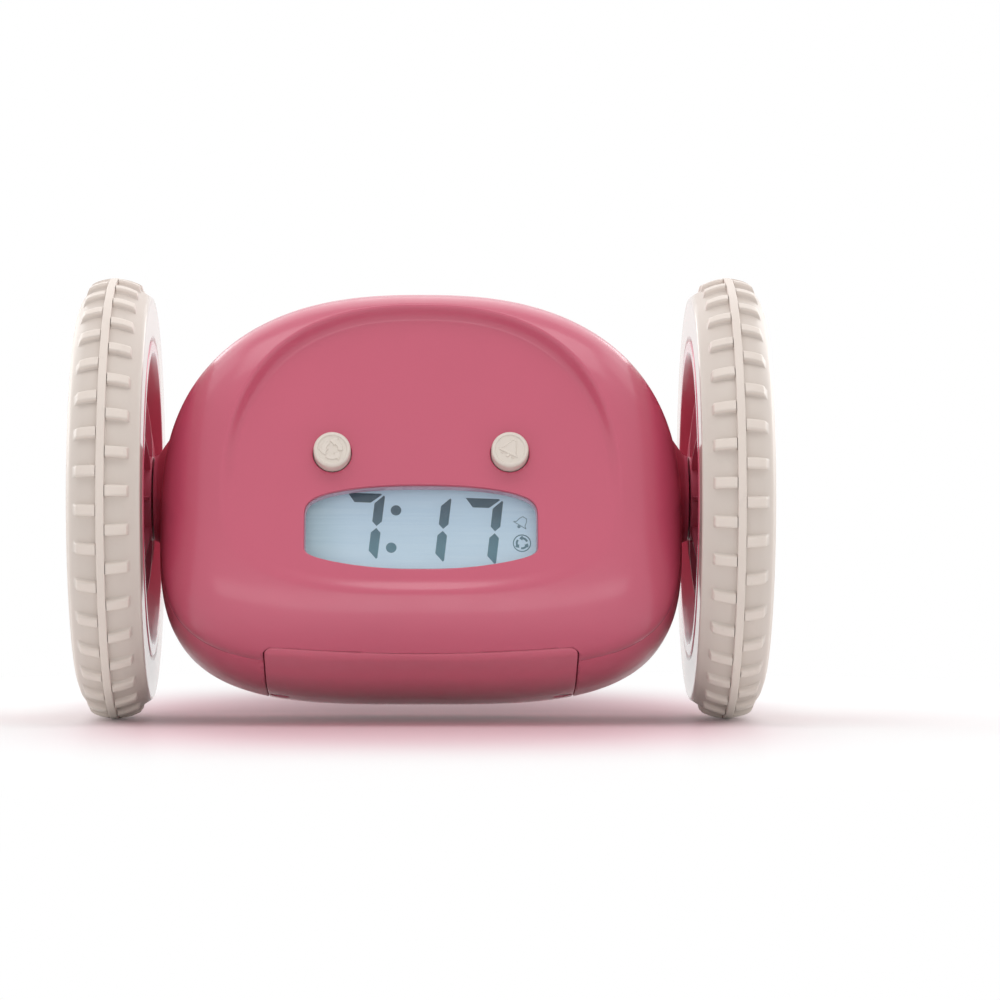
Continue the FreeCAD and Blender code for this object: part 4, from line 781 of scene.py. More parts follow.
def frontShell():
    # rings from the window's wall outwards: window edge, hollow face, lip, nose and the joint's groove
    columns = face["columns"]
    angle = fullTurn(columns)
    into = np.array([0, cos(tilt["face"]), -sin(tilt["face"])])

    def flat(reach):
        return reach * np.cos(angle), window["middle"] + reach * np.sin(angle)

    def reachTo(test):
        return outlineRadius(angle, lambda a, b: test(a, b + window["middle"]), 70.0)
    hole = outlineRadius(angle, insideWindow, 40.0)
    rings = []
    b = window["bevel"]
    for depth in (window["depth"], window["depth"] * 0.6):
        rings.append(liftFront(*flat(hole)) + into * depth)
    for t in np.linspace(pi / 2, 0, 7):
        rings.append(liftFront(*flat(hole + b * (1 - sin(t)))) + into * b * (1 - cos(t)))
    foot = reachTo(lambda x, z: faceEdge(x, z) > face["lipIn"] + 0.1)
    for share in np.linspace(0, 1, 60)[1:]:
        rings.append(liftFront(*flat(hole + b + (foot - hole - b) * share)))
    for distance in np.concatenate([np.linspace(face["lipIn"], 1.4, 9), np.linspace(1.2, -0.7, 16)]):
        rings.append(liftFront(*flat(reachTo(lambda x, z: faceEdge(x, z) > distance))))
    started = reachTo(lambda x, z: faceEdge(x, z) > -0.7)
    ratio = jointNorm(*flat(started))
    share = np.sqrt(np.clip(1 - ratio ** hull["nosePower"], 1e-4, 1))
    for step in np.linspace(1, 0.02, 30)[1:]:
        level = (1 - (share * step) ** 2) ** (1 / hull["nosePower"])
        rings.append(liftFront(*flat(reachTo(lambda x, z: jointNorm(x, z) < level))))
    rim = np.stack([*flat(reachTo(lambda x, z: jointNorm(x, z) < 1))], -1)
    for gap in (hull["frontLip"], 0.01):
        rings.append(np.stack([rim[:, 0], np.full(columns, -hull["jointDepth"] - gap), rim[:, 1]], -1))
    inset = 1 - hull["frontInset"] * partingDepth(rings[-1])
    rings[-1][:, (0, 2)] *= inset[:, None]
    squareRows(rings[-8:])
    points = np.concatenate(rings)
    quads = gridFaces(len(rings), columns)[:, ::-1]
    bore = faceButton["radius"] + faceButton["gap"] + faceButton["edge"]
    for side in (-1, 1):
        points, quads, _ = pierce(
            points, quads, (side * faceButton["x"], faceButton["z"]), lambda a: np.full_like(a, bore), (0, 2),
            liftFront, everywhere, lipRings(faceButton["edge"], faceButton["depth"]), into,
        )
    notch = insideCover(cover["seam"])
    points, quads, _ = pierce(
        points, quads, (0, cover["middle"]), lambda a: outlineRadius(a, notch, 60.0), (0, 1),
        liftBottom, lambda p: p[:, 2] < cover["underFront"], closed=False,
    )
    quads = dropFolded(points, quads)
    piece = makePiece(
        "front_shell_skin", bodyToWorld(points), [quads], "clock", finishes["frontPinkShaded"], ["front_shell"]
    )
    addWall(piece, face["wall"])


def lensEdge():
    # the clear lens fills the window with a raised step; only its pale edge shows
    columns = 240
    angle = fullTurn(columns)
    hole = outlineRadius(angle, insideWindow, 40.0)
    into = np.array([0, cos(tilt["face"]), -sin(tilt["face"])])
    rings = []
    for inset, depth in ((0.04, 0.75), (0.04, 2.5), (0.26, 2.5), (0.26, 0.9), (0.18, 0.75)):
        reach = hole - inset
        rings.append(liftFront(reach * np.cos(angle), window["middle"] + reach * np.sin(angle)) + into * depth)
    points = np.concatenate(rings)
    faces = facingOut(points, ringFaces(len(rings), columns))
    makePiece("lens_raised_edge", bodyToWorld(points), [faces], "clock", finishes["lensEdge"])


frontShell()
lensEdge()
print("front shell made")

# rear shell: dome with its key holes, screw wells, speaker holes and battery opening
rear = {
    "columns": 384, "rows": 84, "rowsBeforeAxle": 24, "key": 3.0, "keyGap": 0.4, "keyX": 12.0, "keyZ": 15.0,
    "screws": ((38.0, 16.0), (41.0, -20.5)), "well": 2.7, "wellDepth": 9.0, "wall": 1.9,
}
speaker = {"up": -6.9, "radius": 13.4, "pitch": 3.6, "rings": 3, "hole": 0.9, "rows": 40}


def liftBack(x, z):
    return np.stack([x, hullBack(x, z), z], -1)


def rearShell():
    # the hull's sections from the joint's groove back to the pole, where the speaker's disc closes them
    columns = rear["columns"]
    angle = fullTurn(columns)
    forward = np.linspace(-hull["jointDepth"] + hull["rearLip"], -0.6, rear["rowsBeforeAxle"])
    bend = np.linspace(0, pi / 2 - 0.035, rear["rows"] - rear["rowsBeforeAxle"])
    dome = hull["back"] * np.sin(bend) ** (2 / hull["backPower"])
    depths = np.concatenate([forward, dome])
    skin = hullSection(depths[:, None] + np.zeros(columns), angle + np.zeros((len(depths), 1)))
    groove = skin[:1] - np.array([0, hull["rearGroove"], 0])
    groove[0][:, (0, 2)] *= 1 - hull["rearInset"] * partingDepth(groove[0])[:, None]
    points = np.concatenate([groove, skin])
    squareRows(points[:8])
    points = points.reshape(-1, 3)
    quads = gridFaces(len(depths) + 1, columns)[:, ::-1]
    notch = insideCover(cover["seam"])
    points, quads, _ = pierce(
        points, quads, (0, cover["middle"]), lambda a: outlineRadius(a, notch, 60.0), (0, 1),
        liftBottom, lambda p: p[:, 2] < cover["under"], closed=False,
    )
    quads = dropFolded(points, quads)
    atBack = lambda p: p[:, 1] > 4
    points, quads, loop = pierce(
        points, quads, (0, speaker["up"]), lambda a: np.full_like(a, speaker["radius"]), (0, 2), liftBack, atBack
    )
    # the disc that carries the speaker holes continues the skin on a finer grid
    rim = points[loop]
    steps = np.linspace(1, 0.02, speaker["rows"])[1:, None]
    x, z = rim[:, 0] * steps, speaker["up"] + (rim[:, 2] - speaker["up"]) * steps
    first = len(points)
    points = np.concatenate([points, liftBack(x, z).reshape(-1, 3), liftBack(np.zeros(1), np.full(1, speaker["up"]))])
    number = np.concatenate([loop, np.arange(first, len(points) - 1)])
    disc = number[gridFaces(len(steps) + 1, len(loop))]
    normal = np.cross(points[disc[0, 1]] - points[disc[0, 0]], points[disc[0, 2]] - points[disc[0, 0]])
    disc = disc if normal[1] > 0 else disc[:, ::-1]
    quads = np.concatenate([quads, disc])
    holes = [(0.0, 0.0)]
    for ring in range(1, speaker["rings"] + 1):
        turn = fullTurn(6 * ring)
        holes += list(zip(speaker["pitch"] * ring * np.cos(turn), speaker["pitch"] * ring * np.sin(turn)))
    inwards = (0, -1, 0)
    for dx, dz in holes:
        points, quads, _ = pierce(
            points, quads, (dx, speaker["up"] + dz), lambda a: np.full_like(a, speaker["hole"] + 0.12), (0, 2),
            liftBack, atBack, lipRings(0.12, 1.0, 2), inwards, snap=0.06,
        )
    for step in (-1, 0, 1):
        points, quads, _ = pierce(
            points, quads, (rear["keyX"] * step, rear["keyZ"]), lambda a: np.full_like(a, rear["key"] + rear["keyGap"]),
            (0, 2), liftBack, atBack, lipRings(0.22, 1.2, 3), inwards,
        )
    for side in (-1, 1):
        for across, up in rear["screws"]:
            # a straight well, as deep below the sloping skin on every side
            points, quads, _ = pierce(
                points, quads, (side * across, up), lambda a: np.full_like(a, rear["well"] + 0.15), (0, 2),
                liftBack, lambda p: p[:, 1] > -2, lipRings(0.15, rear["wellDepth"], 3), inwards,
            )
    piece = makePiece(
        "rear_shell_skin", bodyToWorld(points), [quads], "clock", finishes["rearPink"], ["rear_shell"]
    )
    addWall(piece, rear["wall"])


rearShell()
print("rear shell made")


def batteryCover():
    # rings from the middle to the rounded edge, on the shells' own surface but where it is eased
    columns, rows, soft = cover["columns"], cover["rows"], cover["edge"]
    angle = fullTurn(columns)
    edge = outlineRadius(angle, insideCover(0.0), 60.0)
    flat = np.linspace(0, 1, rows)[1:, None] ** 0.9 * (edge - soft)
    turn = np.linspace(0, pi / 2, 5)[1:, None]
    rounding = edge - soft + soft * np.sin(turn)
    drop = np.concatenate([np.zeros(rows - 1), soft * (1 - np.cos(turn[:, 0]))])[:, None]
    reach = np.concatenate([flat, rounding])
    x, y = reach * np.cos(angle), cover["middle"] + reach * np.sin(angle)
    crossing = 1 - smoothStep(np.abs(y + hull["jointDepth"]), *cover["easeReach"])
    bottom = hullBottom(x, y) * (1 - crossing) + coverBottom(x, y) * crossing
    points = np.stack([x, y, -bottom + drop], -1).reshape(-1, 3)
    quads = gridFaces(len(reach), columns)
    for side in (-1, 1):
        points, quads, _ = pierce(
            points, quads, (side * cover["screwX"], cover["screwY"]), lambda a: np.full_like(a, cover["screwHole"]),
            (0, 1), liftBottom, everywhere, lipRings(0.15, 1.2, 3), (0, 0, 1),
        )
    faces = [quads, np.arange(columns)[None, ::-1]]
    piece = makePiece(
        "battery_cover_skin", bodyToWorld(points), faces, "battery_cover", finishes["coverPink"],
        ["battery_cover"],
    )
    addWall(piece, cover["wall"])


batteryCover()
print("battery cover made")

# flange is its radius and back, stem its radius and front, tip its radius and back
buttonShape = {
    "radius": 3.6, "proud": 2.7, "edge": 0.55, "relief": 0.22, "height": 7.2, "foot": 2.05, "flange": (4.15, 2.85),
    "stem": (1.6, 2.9), "tip": (0.6, 6.7), "iconReach": (2.95, 2.75), "columns": 168,
}


def strokeMask(distance, halfWidth, soft=0.07):
    # 1 within a line's half width, easing to 0 over a soft edge
    return 1 - smoothStep(distance, halfWidth - soft, halfWidth + soft)


def cycleRelief(x, z):
    # three thick arrows that chase each other round a ring
    angle, radius = (np.degrees(np.arctan2(z, x)) + 8) % 120, np.hypot(x, z)
    halfWidth = np.where(angle < 66, 0.46, np.clip((112 - angle) / 46, 0, 1) * 0.95)
    return strokeMask(np.abs(radius - 1.6), halfWidth) * (halfWidth > 0.05)


def bellRelief(x, z):
    # a tilted bell with a raised outline, its clapper and a short mark on each side
    turn = radians(-27)
    a, b = x * cos(turn) + z * sin(turn), -x * sin(turn) + z * cos(turn)
    fall = np.clip((2.0 - b) / 2.7, 0, 1)
    halfWidth = 0.3 + 1.05 * fall ** 0.75 + 0.55 * fall ** 6
    between = (b > -0.72) * (b < 2.05)
    skirt = strokeMask(np.abs(np.abs(a) - halfWidth), 0.13) * between
    top = strokeMask(np.abs(b - 2.0), 0.13) * (np.abs(a) < 0.42)
    brim = strokeMask(np.abs(b + 0.78), 0.15) * (np.abs(a) < 1.95)
    body = 0.55 * (np.abs(a) < halfWidth) * between
    clapper = strokeMask(np.hypot(a - 0.1, b + 1.3), 0.34)
    marks = strokeMask(np.hypot((np.abs(a) - 1.15) / 1.6, b + 1.25), 0.16)
    return np.clip(np.maximum(body, skirt + top + brim + clapper + marks), 0, 1)


def pushButton(name, x, relief, node, body):
    # a turned cap whose flat top is lowered by the relief's lack, with its flange and stem behind
    z = buttonShape["height"]
    base = -(faceSpot["radius"] - sqrt(faceSpot["radius"] ** 2 - x * x - z * z))
    top = base - buttonShape["proud"]
    r, e = buttonShape["radius"], buttonShape["edge"]
    angle = fullTurn(buttonShape["columns"])
    flat = np.linspace(0, 1, 58)[1:] * (r - e)
    turn = np.linspace(0, pi / 2, 8)[1:]
    flange, stem, tip = buttonShape["flange"], buttonShape["stem"], buttonShape["tip"]
    side = [(r, top + e + 0.5), (r, buttonShape["foot"]), (flange[0], buttonShape["foot"]), flange, stem,
            (stem[0], tip[1]), tip]
    reach = np.concatenate([flat, r - e + e * np.sin(turn), [s[0] for s in side]])
    depth = np.concatenate([np.full(len(flat), top), top + e * (1 - np.cos(turn)), [s[1] for s in side]])
    a, b = reach[:, None] * np.cos(angle), reach[:, None] * np.sin(angle)
    d = np.broadcast_to(depth[:, None], a.shape).copy()
    rows = len(flat)
    onIcon = smoothStep(reach[:rows, None], *buttonShape["iconReach"])
    d[:rows] += buttonShape["relief"] * (1 - relief(a[:rows], b[:rows])) * onIcon
    points = np.stack([x + a, d, z + b], -1).reshape(-1, 3)
    tips = np.array([[x, d[0].mean(), z], [x, tip[1], z]])
    first = len(points)
    points = faceToWorld(np.concatenate([points, tips]))
    quads = gridFaces(len(reach), len(angle))
    last = np.arange(len(angle)) + (len(reach) - 1) * len(angle)
    faces = [quads[:, ::-1], fanFaces(first, np.arange(len(angle)), turned=True), fanFaces(first + 1, last)]
    makePiece(name, points, faces, body, finishes["buttonWhite"], [node], sharp=50)


pushButton("cycle_button_cap", -faceButton["x"], cycleRelief, "cycle_button", "cycle_button")
pushButton("alarm_button_cap", faceButton["x"], bellRelief, "alarm_button", "alarm_button")


keyShape = {"foot": 27.25, "top": 35.0, "dome": 0.25, "crown": 2.45, "radius": 3.0, "flange": 3.7, "columns": 72}


def settingKey(name, x, node, body):
    # a short round key: the profile runs from its slightly domed top to the flange at its foot
    foot, top, radius, flange = keyShape["foot"], keyShape["top"], keyShape["radius"], keyShape["flange"]
    dome, flat = keyShape["dome"], keyShape["crown"]
    crown = np.linspace(0.02, 1, 9)
    domed = np.stack([top - dome * crown ** 2, crown * flat], -1)
    ring = roundedPath((
        (top - dome, flat, 0), (top - 0.45, radius, 0.35), (foot + 1.0, radius, 0.05), (foot + 1.0, flange, 0.1),
        (foot, flange, 0.1), (foot, 0.02, 0),
    ), 4)
    profile = np.concatenate([domed, ring[1:]])

    def place(points):
        return bodyToWorld(np.stack([x + points[:, 0], points[:, 2], rear["keyZ"] + points[:, 1]], -1))
    points, faces = revolve(profile, fullTurn(keyShape["columns"]), place)
    makePiece(name, points, [facingOut(points, faces)], body, finishes["keyGrey"], [node])


for step, word in ((-1, "hour"), (0, "minute"), (1, "set")):
    settingKey(word + "_key_cap", rear["keyX"] * step, word + "_key", word + "_key")
print("buttons and keys made")

tyre = {
    "inner": 53.5, "outer": 68.0, "tread": 42.8, "top": 44.0, "seat": 31.65, "rib": 60.9, "ribHalf": 0.8,
    "crown": 19.0, "shoulder": 64.6, "shoulderFall": 1.0,
    "lugs": 36, "lugHalf": 1.08, "lugLength": 4.45, "lugRise": 1.15, "soft": 0.14,
    "phases": {"left": (2.0, 7.0), "right": (6.0, 1.0)},
}
# a rib runs from ribStart to ribEnd out from the axle; its free edge starts at ribEdge and falls back
wheel = {
    "webIn": 59.6, "webOut": 61.0, "hubIn": 53.4, "hubOut": 63.0, "lip": 53.4, "spokes": 8, "firstSpoke": 0,
    "ribHalf": 0.42, "ribStart": 8.0, "ribEnd": 28.6, "ribEdge": 53.7, "ribFall": 4.1, "ribPower": 2.2, "ribFoot": 60.2,
}


def wheelPlace(side):
    # +Z of the wheel's frame runs outwards along the axle, +X of it down on the right side
    def place(points):
        a, b, along = points[:, 0], points[:, 1], points[:, 2]
        return np.stack([side * along, b, axleHeight - side * a], -1) / 1000
    return place


def treadBase(along):
    # the tread is crowned about its rib, and falls away faster at the outer shoulder
    fromRib = along - tyre["rib"]
    shoulder = np.clip((along - tyre["shoulder"]) / 2.4, 0, None)
    return tyre["tread"] - fromRib ** 2 / tyre["crown"] - tyre["shoulderFall"] * shoulder ** 2


def tyreSkin(hand, side):
    # the profile starts at the seat, runs out over the tread and back along the outer side; it is turned
    # round the axle, and the tread is then lifted to base + lugRise where a lug stands
    seat, inner, outer, tread = tyre["seat"], tyre["inner"], tyre["outer"], tyre["tread"]
    ribIn, ribOut = tyre["rib"] - tyre["ribHalf"], tyre["rib"] + tyre["ribHalf"]
    lugIn, lugOut = ribIn - tyre["lugLength"], ribOut + tyre["lugLength"]
    first, last = inner + 0.9, outer - 1.0
    innerSide = roundedPath((
        (inner + 0.7, seat, 0), (inner, seat + 0.8, 0.4), (inner, treadBase(inner + 0.2) + 0.1, 1.3),
        (first + 0.1, treadBase(first), 0),
    ), 6)[:-1]
    innerTread = np.concatenate([
        np.linspace(first, lugIn - 0.35, 4), np.linspace(lugIn - 0.2, lugIn + 0.4, 6),
        np.linspace(lugIn + 0.7, ribIn - 0.35, 8), [ribIn - 0.14],
    ])
    outerTread = np.concatenate([
        [ribOut + 0.14], np.linspace(ribOut + 0.35, lugOut - 0.9, 8), np.linspace(lugOut - 0.7, lugOut + 0.3, 8),
        np.linspace(lugOut + 0.45, last, 3),
    ])
    ribPath = roundedPath((
        (ribIn, tread, 0.1), (ribIn, tyre["top"], 0.25), (ribOut, tyre["top"], 0.25), (ribOut, tread, 0.1),
    ), 4)
    outerSide = roundedPath((
        (last + 0.1, treadBase(last + 0.1), 0), (outer - 0.25, treadBase(last) - 2.0, 1.4),
        (outer, 35.4, 3.0), (outer, seat + 3.2, 1.2), (outer - 1.0, seat, 0.2),
    ), 7)
    path = np.concatenate([
        innerSide, np.stack([innerTread, treadBase(innerTread)], -1), ribPath,
        np.stack([outerTread, treadBase(outerTread)], -1), outerSide,
    ])
    lugHalf = degrees(tyre["lugHalf"] / tread)
    soft = degrees(tyre["soft"] / tread)
    steps = np.array([-lugHalf - 1.5 * soft, -lugHalf - soft, -lugHalf, -lugHalf + soft, -lugHalf / 2])
    near = np.concatenate([steps, [0], -steps[::-1]])
    sector = np.concatenate([near, [2.5], near + 5, [7.5]])
    start = tyre["phases"][hand][0]
    order = np.radians((np.arange(tyre["lugs"])[:, None] * 10 + sector + start).ravel())
    points, faces = revolve(path, order, lambda points: points)
    along, radius = points[:, 2], np.hypot(points[:, 0], points[:, 1])
    turn = np.degrees(np.arctan2(points[:, 1], points[:, 0]))
    base = treadBase(along)
    grown = np.zeros(len(points))
    # 1 on a lug and 0 between lugs: closeness to the lug's angle times closeness to its length
    onTread = (radius > base - 0.05) & (along > first - 0.05) & (along < last + 0.05)
    for row, (low, high) in enumerate(((lugIn, ribIn), (ribOut, lugOut))):
        offset = (turn - tyre["phases"][hand][row] + 5) % 10 - 5
        across = 1 - smoothStep(np.abs(offset), lugHalf - soft, lugHalf + soft)
        if row == 0:
            length = smoothStep(along, low - 0.18, low + 0.28) * (along < high + 0.05)
        else:
            length = (1 - smoothStep(along, high - 0.75, high + 0.2)) * (along > low - 0.05)
        grown = np.maximum(grown, across * length * onTread)
    lifted = np.where(onTread, np.maximum(radius, base + tyre["lugRise"] * grown), radius)
    points[:, :2] *= (lifted / radius)[:, None]
    points = wheelPlace(side)(points)
    makePiece(
        hand + "_tyre_skin", points, [facingOut(points, faces)], hand + "_wheel", finishes["tyreWhite"],
        [hand + "_tyre"], sharp=0,
    )


def wheelDisc(hand, side):
    # rim with a flat pale lip, a bowl that runs down to the web, and the hub, as one turned profile
    web, back, lip = wheel["webIn"], wheel["webOut"], wheel["lip"]
    profile = roundedPath((
        (wheel["hubIn"], 2.3, 0.1), (wheel["hubIn"], 8.4, 0.3), (web, 8.4, 0.8), (web, 19.0, 6.0),
        (58.2, 26.4, 3.0), (lip, 29.2, 0.4), (lip, 31.45, 0.35), (tyre["outer"] - 1.3, 31.45, 0.3),
        (tyre["outer"] - 1.3, 29.8, 0.4), (back + 0.6, 29.0, 0.8), (back, 26.0, 2.0), (back, 7.8, 0.4),
        (wheel["hubOut"], 7.8, 0.3), (wheel["hubOut"], 2.3, 0.1),
    ), 8)
    place = wheelPlace(side)
    points, faces = revolve(profile, fullTurn(216), place)
    faces = facingOut(points, faces)
    # each rib is a thin upright plate with a rounded free edge
    stations = np.linspace(wheel["ribStart"], wheel["ribEnd"], 16)
    free = wheel["ribEdge"] + wheel["ribFall"] * ((stations - wheel["ribStart"]) / 20) ** wheel["ribPower"]
    section = np.array([(0, -1.3), (0.75, -1.1), (1, -0.7), (1, 0.7), (0.75, 1.1), (0, 1.3)]) * (1, wheel["ribHalf"])
    rise = 1 - (1 - section[:, 0]) ** 2
    along = free[:, None] + (wheel["ribFoot"] - free[:, None]) * (1 - rise)
    across = np.broadcast_to(section[:, 1], along.shape)
    for i in range(wheel["spokes"]):
        turn = radians(wheel["firstSpoke"] + 360 / wheel["spokes"] * i)
        a = stations[:, None] * cos(turn) - across * sin(turn)
        b = stations[:, None] * sin(turn) + across * cos(turn)
        rib = place(np.stack([a, b, along], -1).reshape(-1, 3))
        first, count = len(points), len(section)
        cells = gridFaces(len(stations), count)
        ends = [np.arange(count)[::-1], np.arange(count) + (len(stations) - 1) * count]
        caps = np.concatenate([np.stack([e[[0, 1, 4, 5]], e[[1, 2, 3, 4]]]) for e in ends])
        faces = np.concatenate([faces, facingOut(rib, np.concatenate([cells, caps])) + first])
        points = np.concatenate([points, rib])
    makePiece(
        hand + "_wheel_disc_skin", points, [faces], hand + "_wheel", finishes["wheelPink"],
        [hand + "_wheel_disc"],
    )


def hubCap(hand, side):
    # a thin domed cap over the end of the hub
    low, high = wheel["webOut"] + 0.1, 67.1
    crown = np.linspace(0.015, 1, 12)
    dome = np.stack([high - 0.55 * crown ** 2.4, crown * 7.4], -1)
    ring = roundedPath((
        (high - 0.55, 7.4, 0), (65.3, 9.2, 1.0), (low, 9.2, 0.15), (low, 7.9, 0.1), (64.6, 7.9, 0.3), (65.2, 0.1, 0),
    ), 6)
    points, faces = revolve(np.concatenate([dome, ring[1:]]), fullTurn(120), wheelPlace(side))
    makePiece(
        hand + "_hub_cap_skin", points, [facingOut(points, faces)], hand + "_wheel", finishes["wheelPink"],
        [hand + "_hub_cap"],
    )


def axleCollar(hand, side):
    # the boss round the axle, flared where it grows out of the rear shell
    profile = roundedPath((
        (48.5, 4.05, 0), (53.1, 4.05, 0.15), (53.1, 8.5, 0.25), (52.3, 8.7, 1.0), (51.2, 10.4, 1.0), (49.6, 12.6, 0),
        (48.0, 13.4, 0), (47.6, 4.4, 0),
    ), 6)

    def place(points):
        return bodyToWorld(np.stack([side * points[:, 2], points[:, 1], points[:, 0]], -1))
    points, faces = revolve(profile, fullTurn(120), place)
    makePiece(
        hand + "_axle_collar", points, [facingOut(points, faces)], "clock", finishes["rearPink"],
        ["rear_shell"],
    )


for hand, side in (("left", -1), ("right", 1)):
    tyreSkin(hand, side)
    wheelDisc(hand, side)
    hubCap(hand, side)
    axleCollar(hand, side)
print("wheels made")

# display: digits, colon and icons as thin films on the panel
display = {
    "plane": 3.86, "film": 0.035, "turn": radians(-2.1), "slant": tan(radians(4.6)), "bar": 1.86,
    "half": 6.42, "gap": 0.42, "cap": 0.34,
}


def film(name, outlines, material, plane):
    # flat polygons in the face frame, given a thickness; each outline is convex
    points, sides, tops = [], [], {}
    first = 0
    for outline in outlines:
        outline = np.asarray(outline, float)
        area = np.sum(outline[:, 0] * np.roll(outline[:, 1], -1) - np.roll(outline[:, 0], -1) * outline[:, 1])
        outline = outline if area > 0 else outline[::-1]
        count = len(outline)
        front = np.stack([outline[:, 0], np.full(count, plane - display["film"]), outline[:, 1]], -1)
        points += [front, front + np.array([0, display["film"], 0])]
        ring = np.arange(count) + first
        following = np.roll(ring, -1)
        sides.append(np.stack([ring, ring + count, following + count, following], -1))
        tops.setdefault(count, []).extend([ring, (ring + count)[::-1]])
        first += 2 * count
    sets = [np.concatenate(sides)] + [np.array(t) for t in tops.values()]
    makePiece(name, faceToWorld(np.concatenate(points)), sets, "clock", material, sharp=20)


def onGlass(outline, spot):
    # slants a character, turns it a little and puts it at its spot (across, up)
    p, q = outline[:, 0] + outline[:, 1] * display["slant"], outline[:, 1]
    c, s = cos(display["turn"]), sin(display["turn"])
    return np.stack([spot[0] + p * c - q * s, spot[1] + p * s + q * c], -1)


def uprightSegment(low, high):
    # the end away from the middle is cut at 45 degrees up to the outer edge, the other is a point
    w = display["bar"] / 2
    tall = abs(high - low)
    outline = np.array([(w, tall - 0.25), (w * 0.75, tall), (-w, tall - 1.75 * w), (-w, w), (0, 0), (w, w)])
    return np.stack([outline[:, 0], low + outline[:, 1] * np.sign(high - low)], -1)


def topBar(high):
    # long upper edge, both ends slanting in
    w, left, right = display["bar"], -6.5, 0.28
    return np.array([(left, high), (left + 0.2, high - 0.1), (left + w * 0.9, high - w), (right - w * 1.05, high - w),
                     (right, high - 0.2), (right - 0.2, high)])


def arc(centre, radius, start, end, halfWidth, steps=24, tipped=False):
    # a bent ribbon as a row of small quads; tipped ribbons end in an arrow head
    turn = np.radians(np.linspace(start, end, steps))
    half = np.full(steps, halfWidth)
    if tipped:
        head = np.linspace(0, 1, steps) > 0.66
        half = np.where(head, halfWidth * 2.4 * (1 - (np.linspace(0, 1, steps) - 0.66) / 0.34), half)
    ways = np.stack([np.cos(turn), np.sin(turn)], -1)
    outer, inner = centre + ways * (radius + half)[:, None], centre + ways * (radius - half)[:, None]
    return [np.array([inner[i], outer[i], outer[i + 1], inner[i + 1]]) for i in range(steps - 1) if half[i] > 0.01]


def stroke(path, halfWidth):
    # a thin quad along every straight part of an open path
    quads = []
    for start, end in zip(path[:-1], path[1:]):
        way = (end - start) / np.hypot(*(end - start))
        side = np.array([-way[1], way[0]]) * halfWidth
        quads.append(np.array([start - side, start + side, end + side, end - side]))
    return quads


def makeDisplay():
    half, gap = display["half"], display["gap"] / 2
    digits = (((-8.65, -6.42), True), ((4.25, -7.0), False), ((14.3, -7.5), True))
    lit = []
    for spot, seven in digits:
        lit.append(onGlass(uprightSegment(gap, half), spot))
        lit.append(onGlass(uprightSegment(-gap, -half), spot))
        if seven:
            lit.append(onGlass(topBar(half + display["cap"]), spot))
    for x, y in ((-4.85, -3.05), (-5.76, -10.6)):
        turn = np.linspace(0, 2 * pi, 29)[:-1]  # the colon's round dots
        lit.append(np.stack([x + 1.03 * np.cos(turn), y + 1.03 * np.sin(turn)], -1))
    film("display_digits", lit, finishes["segments"], display["plane"])
    ring = np.array([19.55, -9.7])
    icons = arc(ring, 1.66, 0, 360, 0.1, 49)
    for start in (20, 140, 260):
        icons += arc(ring, 1.02, start, start + 100, 0.2, 16, True)
    film("display_cycle_mark", icons, finishes["segments"], display["plane"])
    # a small tilted bell: dome, flared mouth and clapper
    bell = np.array([19.6, -5.35])
    lean = radians(-32)
    shape = np.array([(-1.45, -0.85), (-0.95, -0.5), (-0.78, 0.35), (-0.42, 0.95), (0.42, 0.95), (0.78, 0.35),
                      (0.95, -0.5), (1.45, -0.85), (-1.45, -0.85)])
    across, up = shape[:, 0], shape[:, 1]
    turned = np.stack([across * cos(lean) - up * sin(lean), across * sin(lean) + up * cos(lean)], -1)
    faint = stroke(bell + turned, 0.07)
    turn = np.linspace(0, 2 * pi, 13)[:-1]
    faint.append(bell + np.array([-0.62, -1.0]) + 0.32 * np.stack([np.cos(turn), np.sin(turn)], -1))
    film("display_bell_mark", faint, finishes["faintSegments"], display["plane"])


makeDisplay()
print("display made")

# finishes of the CAD nodes that show as they are
nodeFinish = {
    "lcd_lens": "lens", "lcd_panel": "display", "light_guide": "gearWhite", "lcd_connector": "silicone",
    "main_board": "boardGreen", "key_board": "boardGreen", "control_chip": "chipBlack", "quartz_crystal": "steel",
    "cycle_dome": "silicone", "alarm_dome": "silicone", "key_pad": "silicone", "speaker_basket": "steel",
    "speaker_cone": "paperCone", "speaker_magnet": "magnet", "battery_tray": "trayBlack",
    "spring_contacts": "zinc", "plate_contacts": "zinc", "housing_screws": "zinc", "board_screws": "zinc",
    "cover_screws": "zinc", "gearbox_screws": "zinc", "idler_pins": "steel",
    "battery_1": "jacket", "battery_2": "jacket", "battery_3": "jacket", "battery_4": "jacket",
}
for hand in ("left", "right"):
    nodeFinish.update({
        hand + "_wheel_screw": "zinc", hand + "_axle_shaft": "steel", hand + "_output_gear": "gearWhite",
        hand + "_idler_gear": "gearWhite", hand + "_motor_pinion": "brass", hand + "_motor_shaft": "steel",
        hand + "_motor": "motorCan", hand + "_gearbox_base": "gearboxGrey", hand + "_gearbox_plate": "gearboxGrey",
        hand + "_bushing": "brass",
    })
for name, finish in nodeFinish.items():
    node = nodes[name]
    if not node.material_slots:
        node.data.materials.append(None)
    for slotOf in node.material_slots:
        slotOf.link = "OBJECT"
        slotOf.material = finishes[finish]
print("CAD nodes finished:", len(nodeFinish))

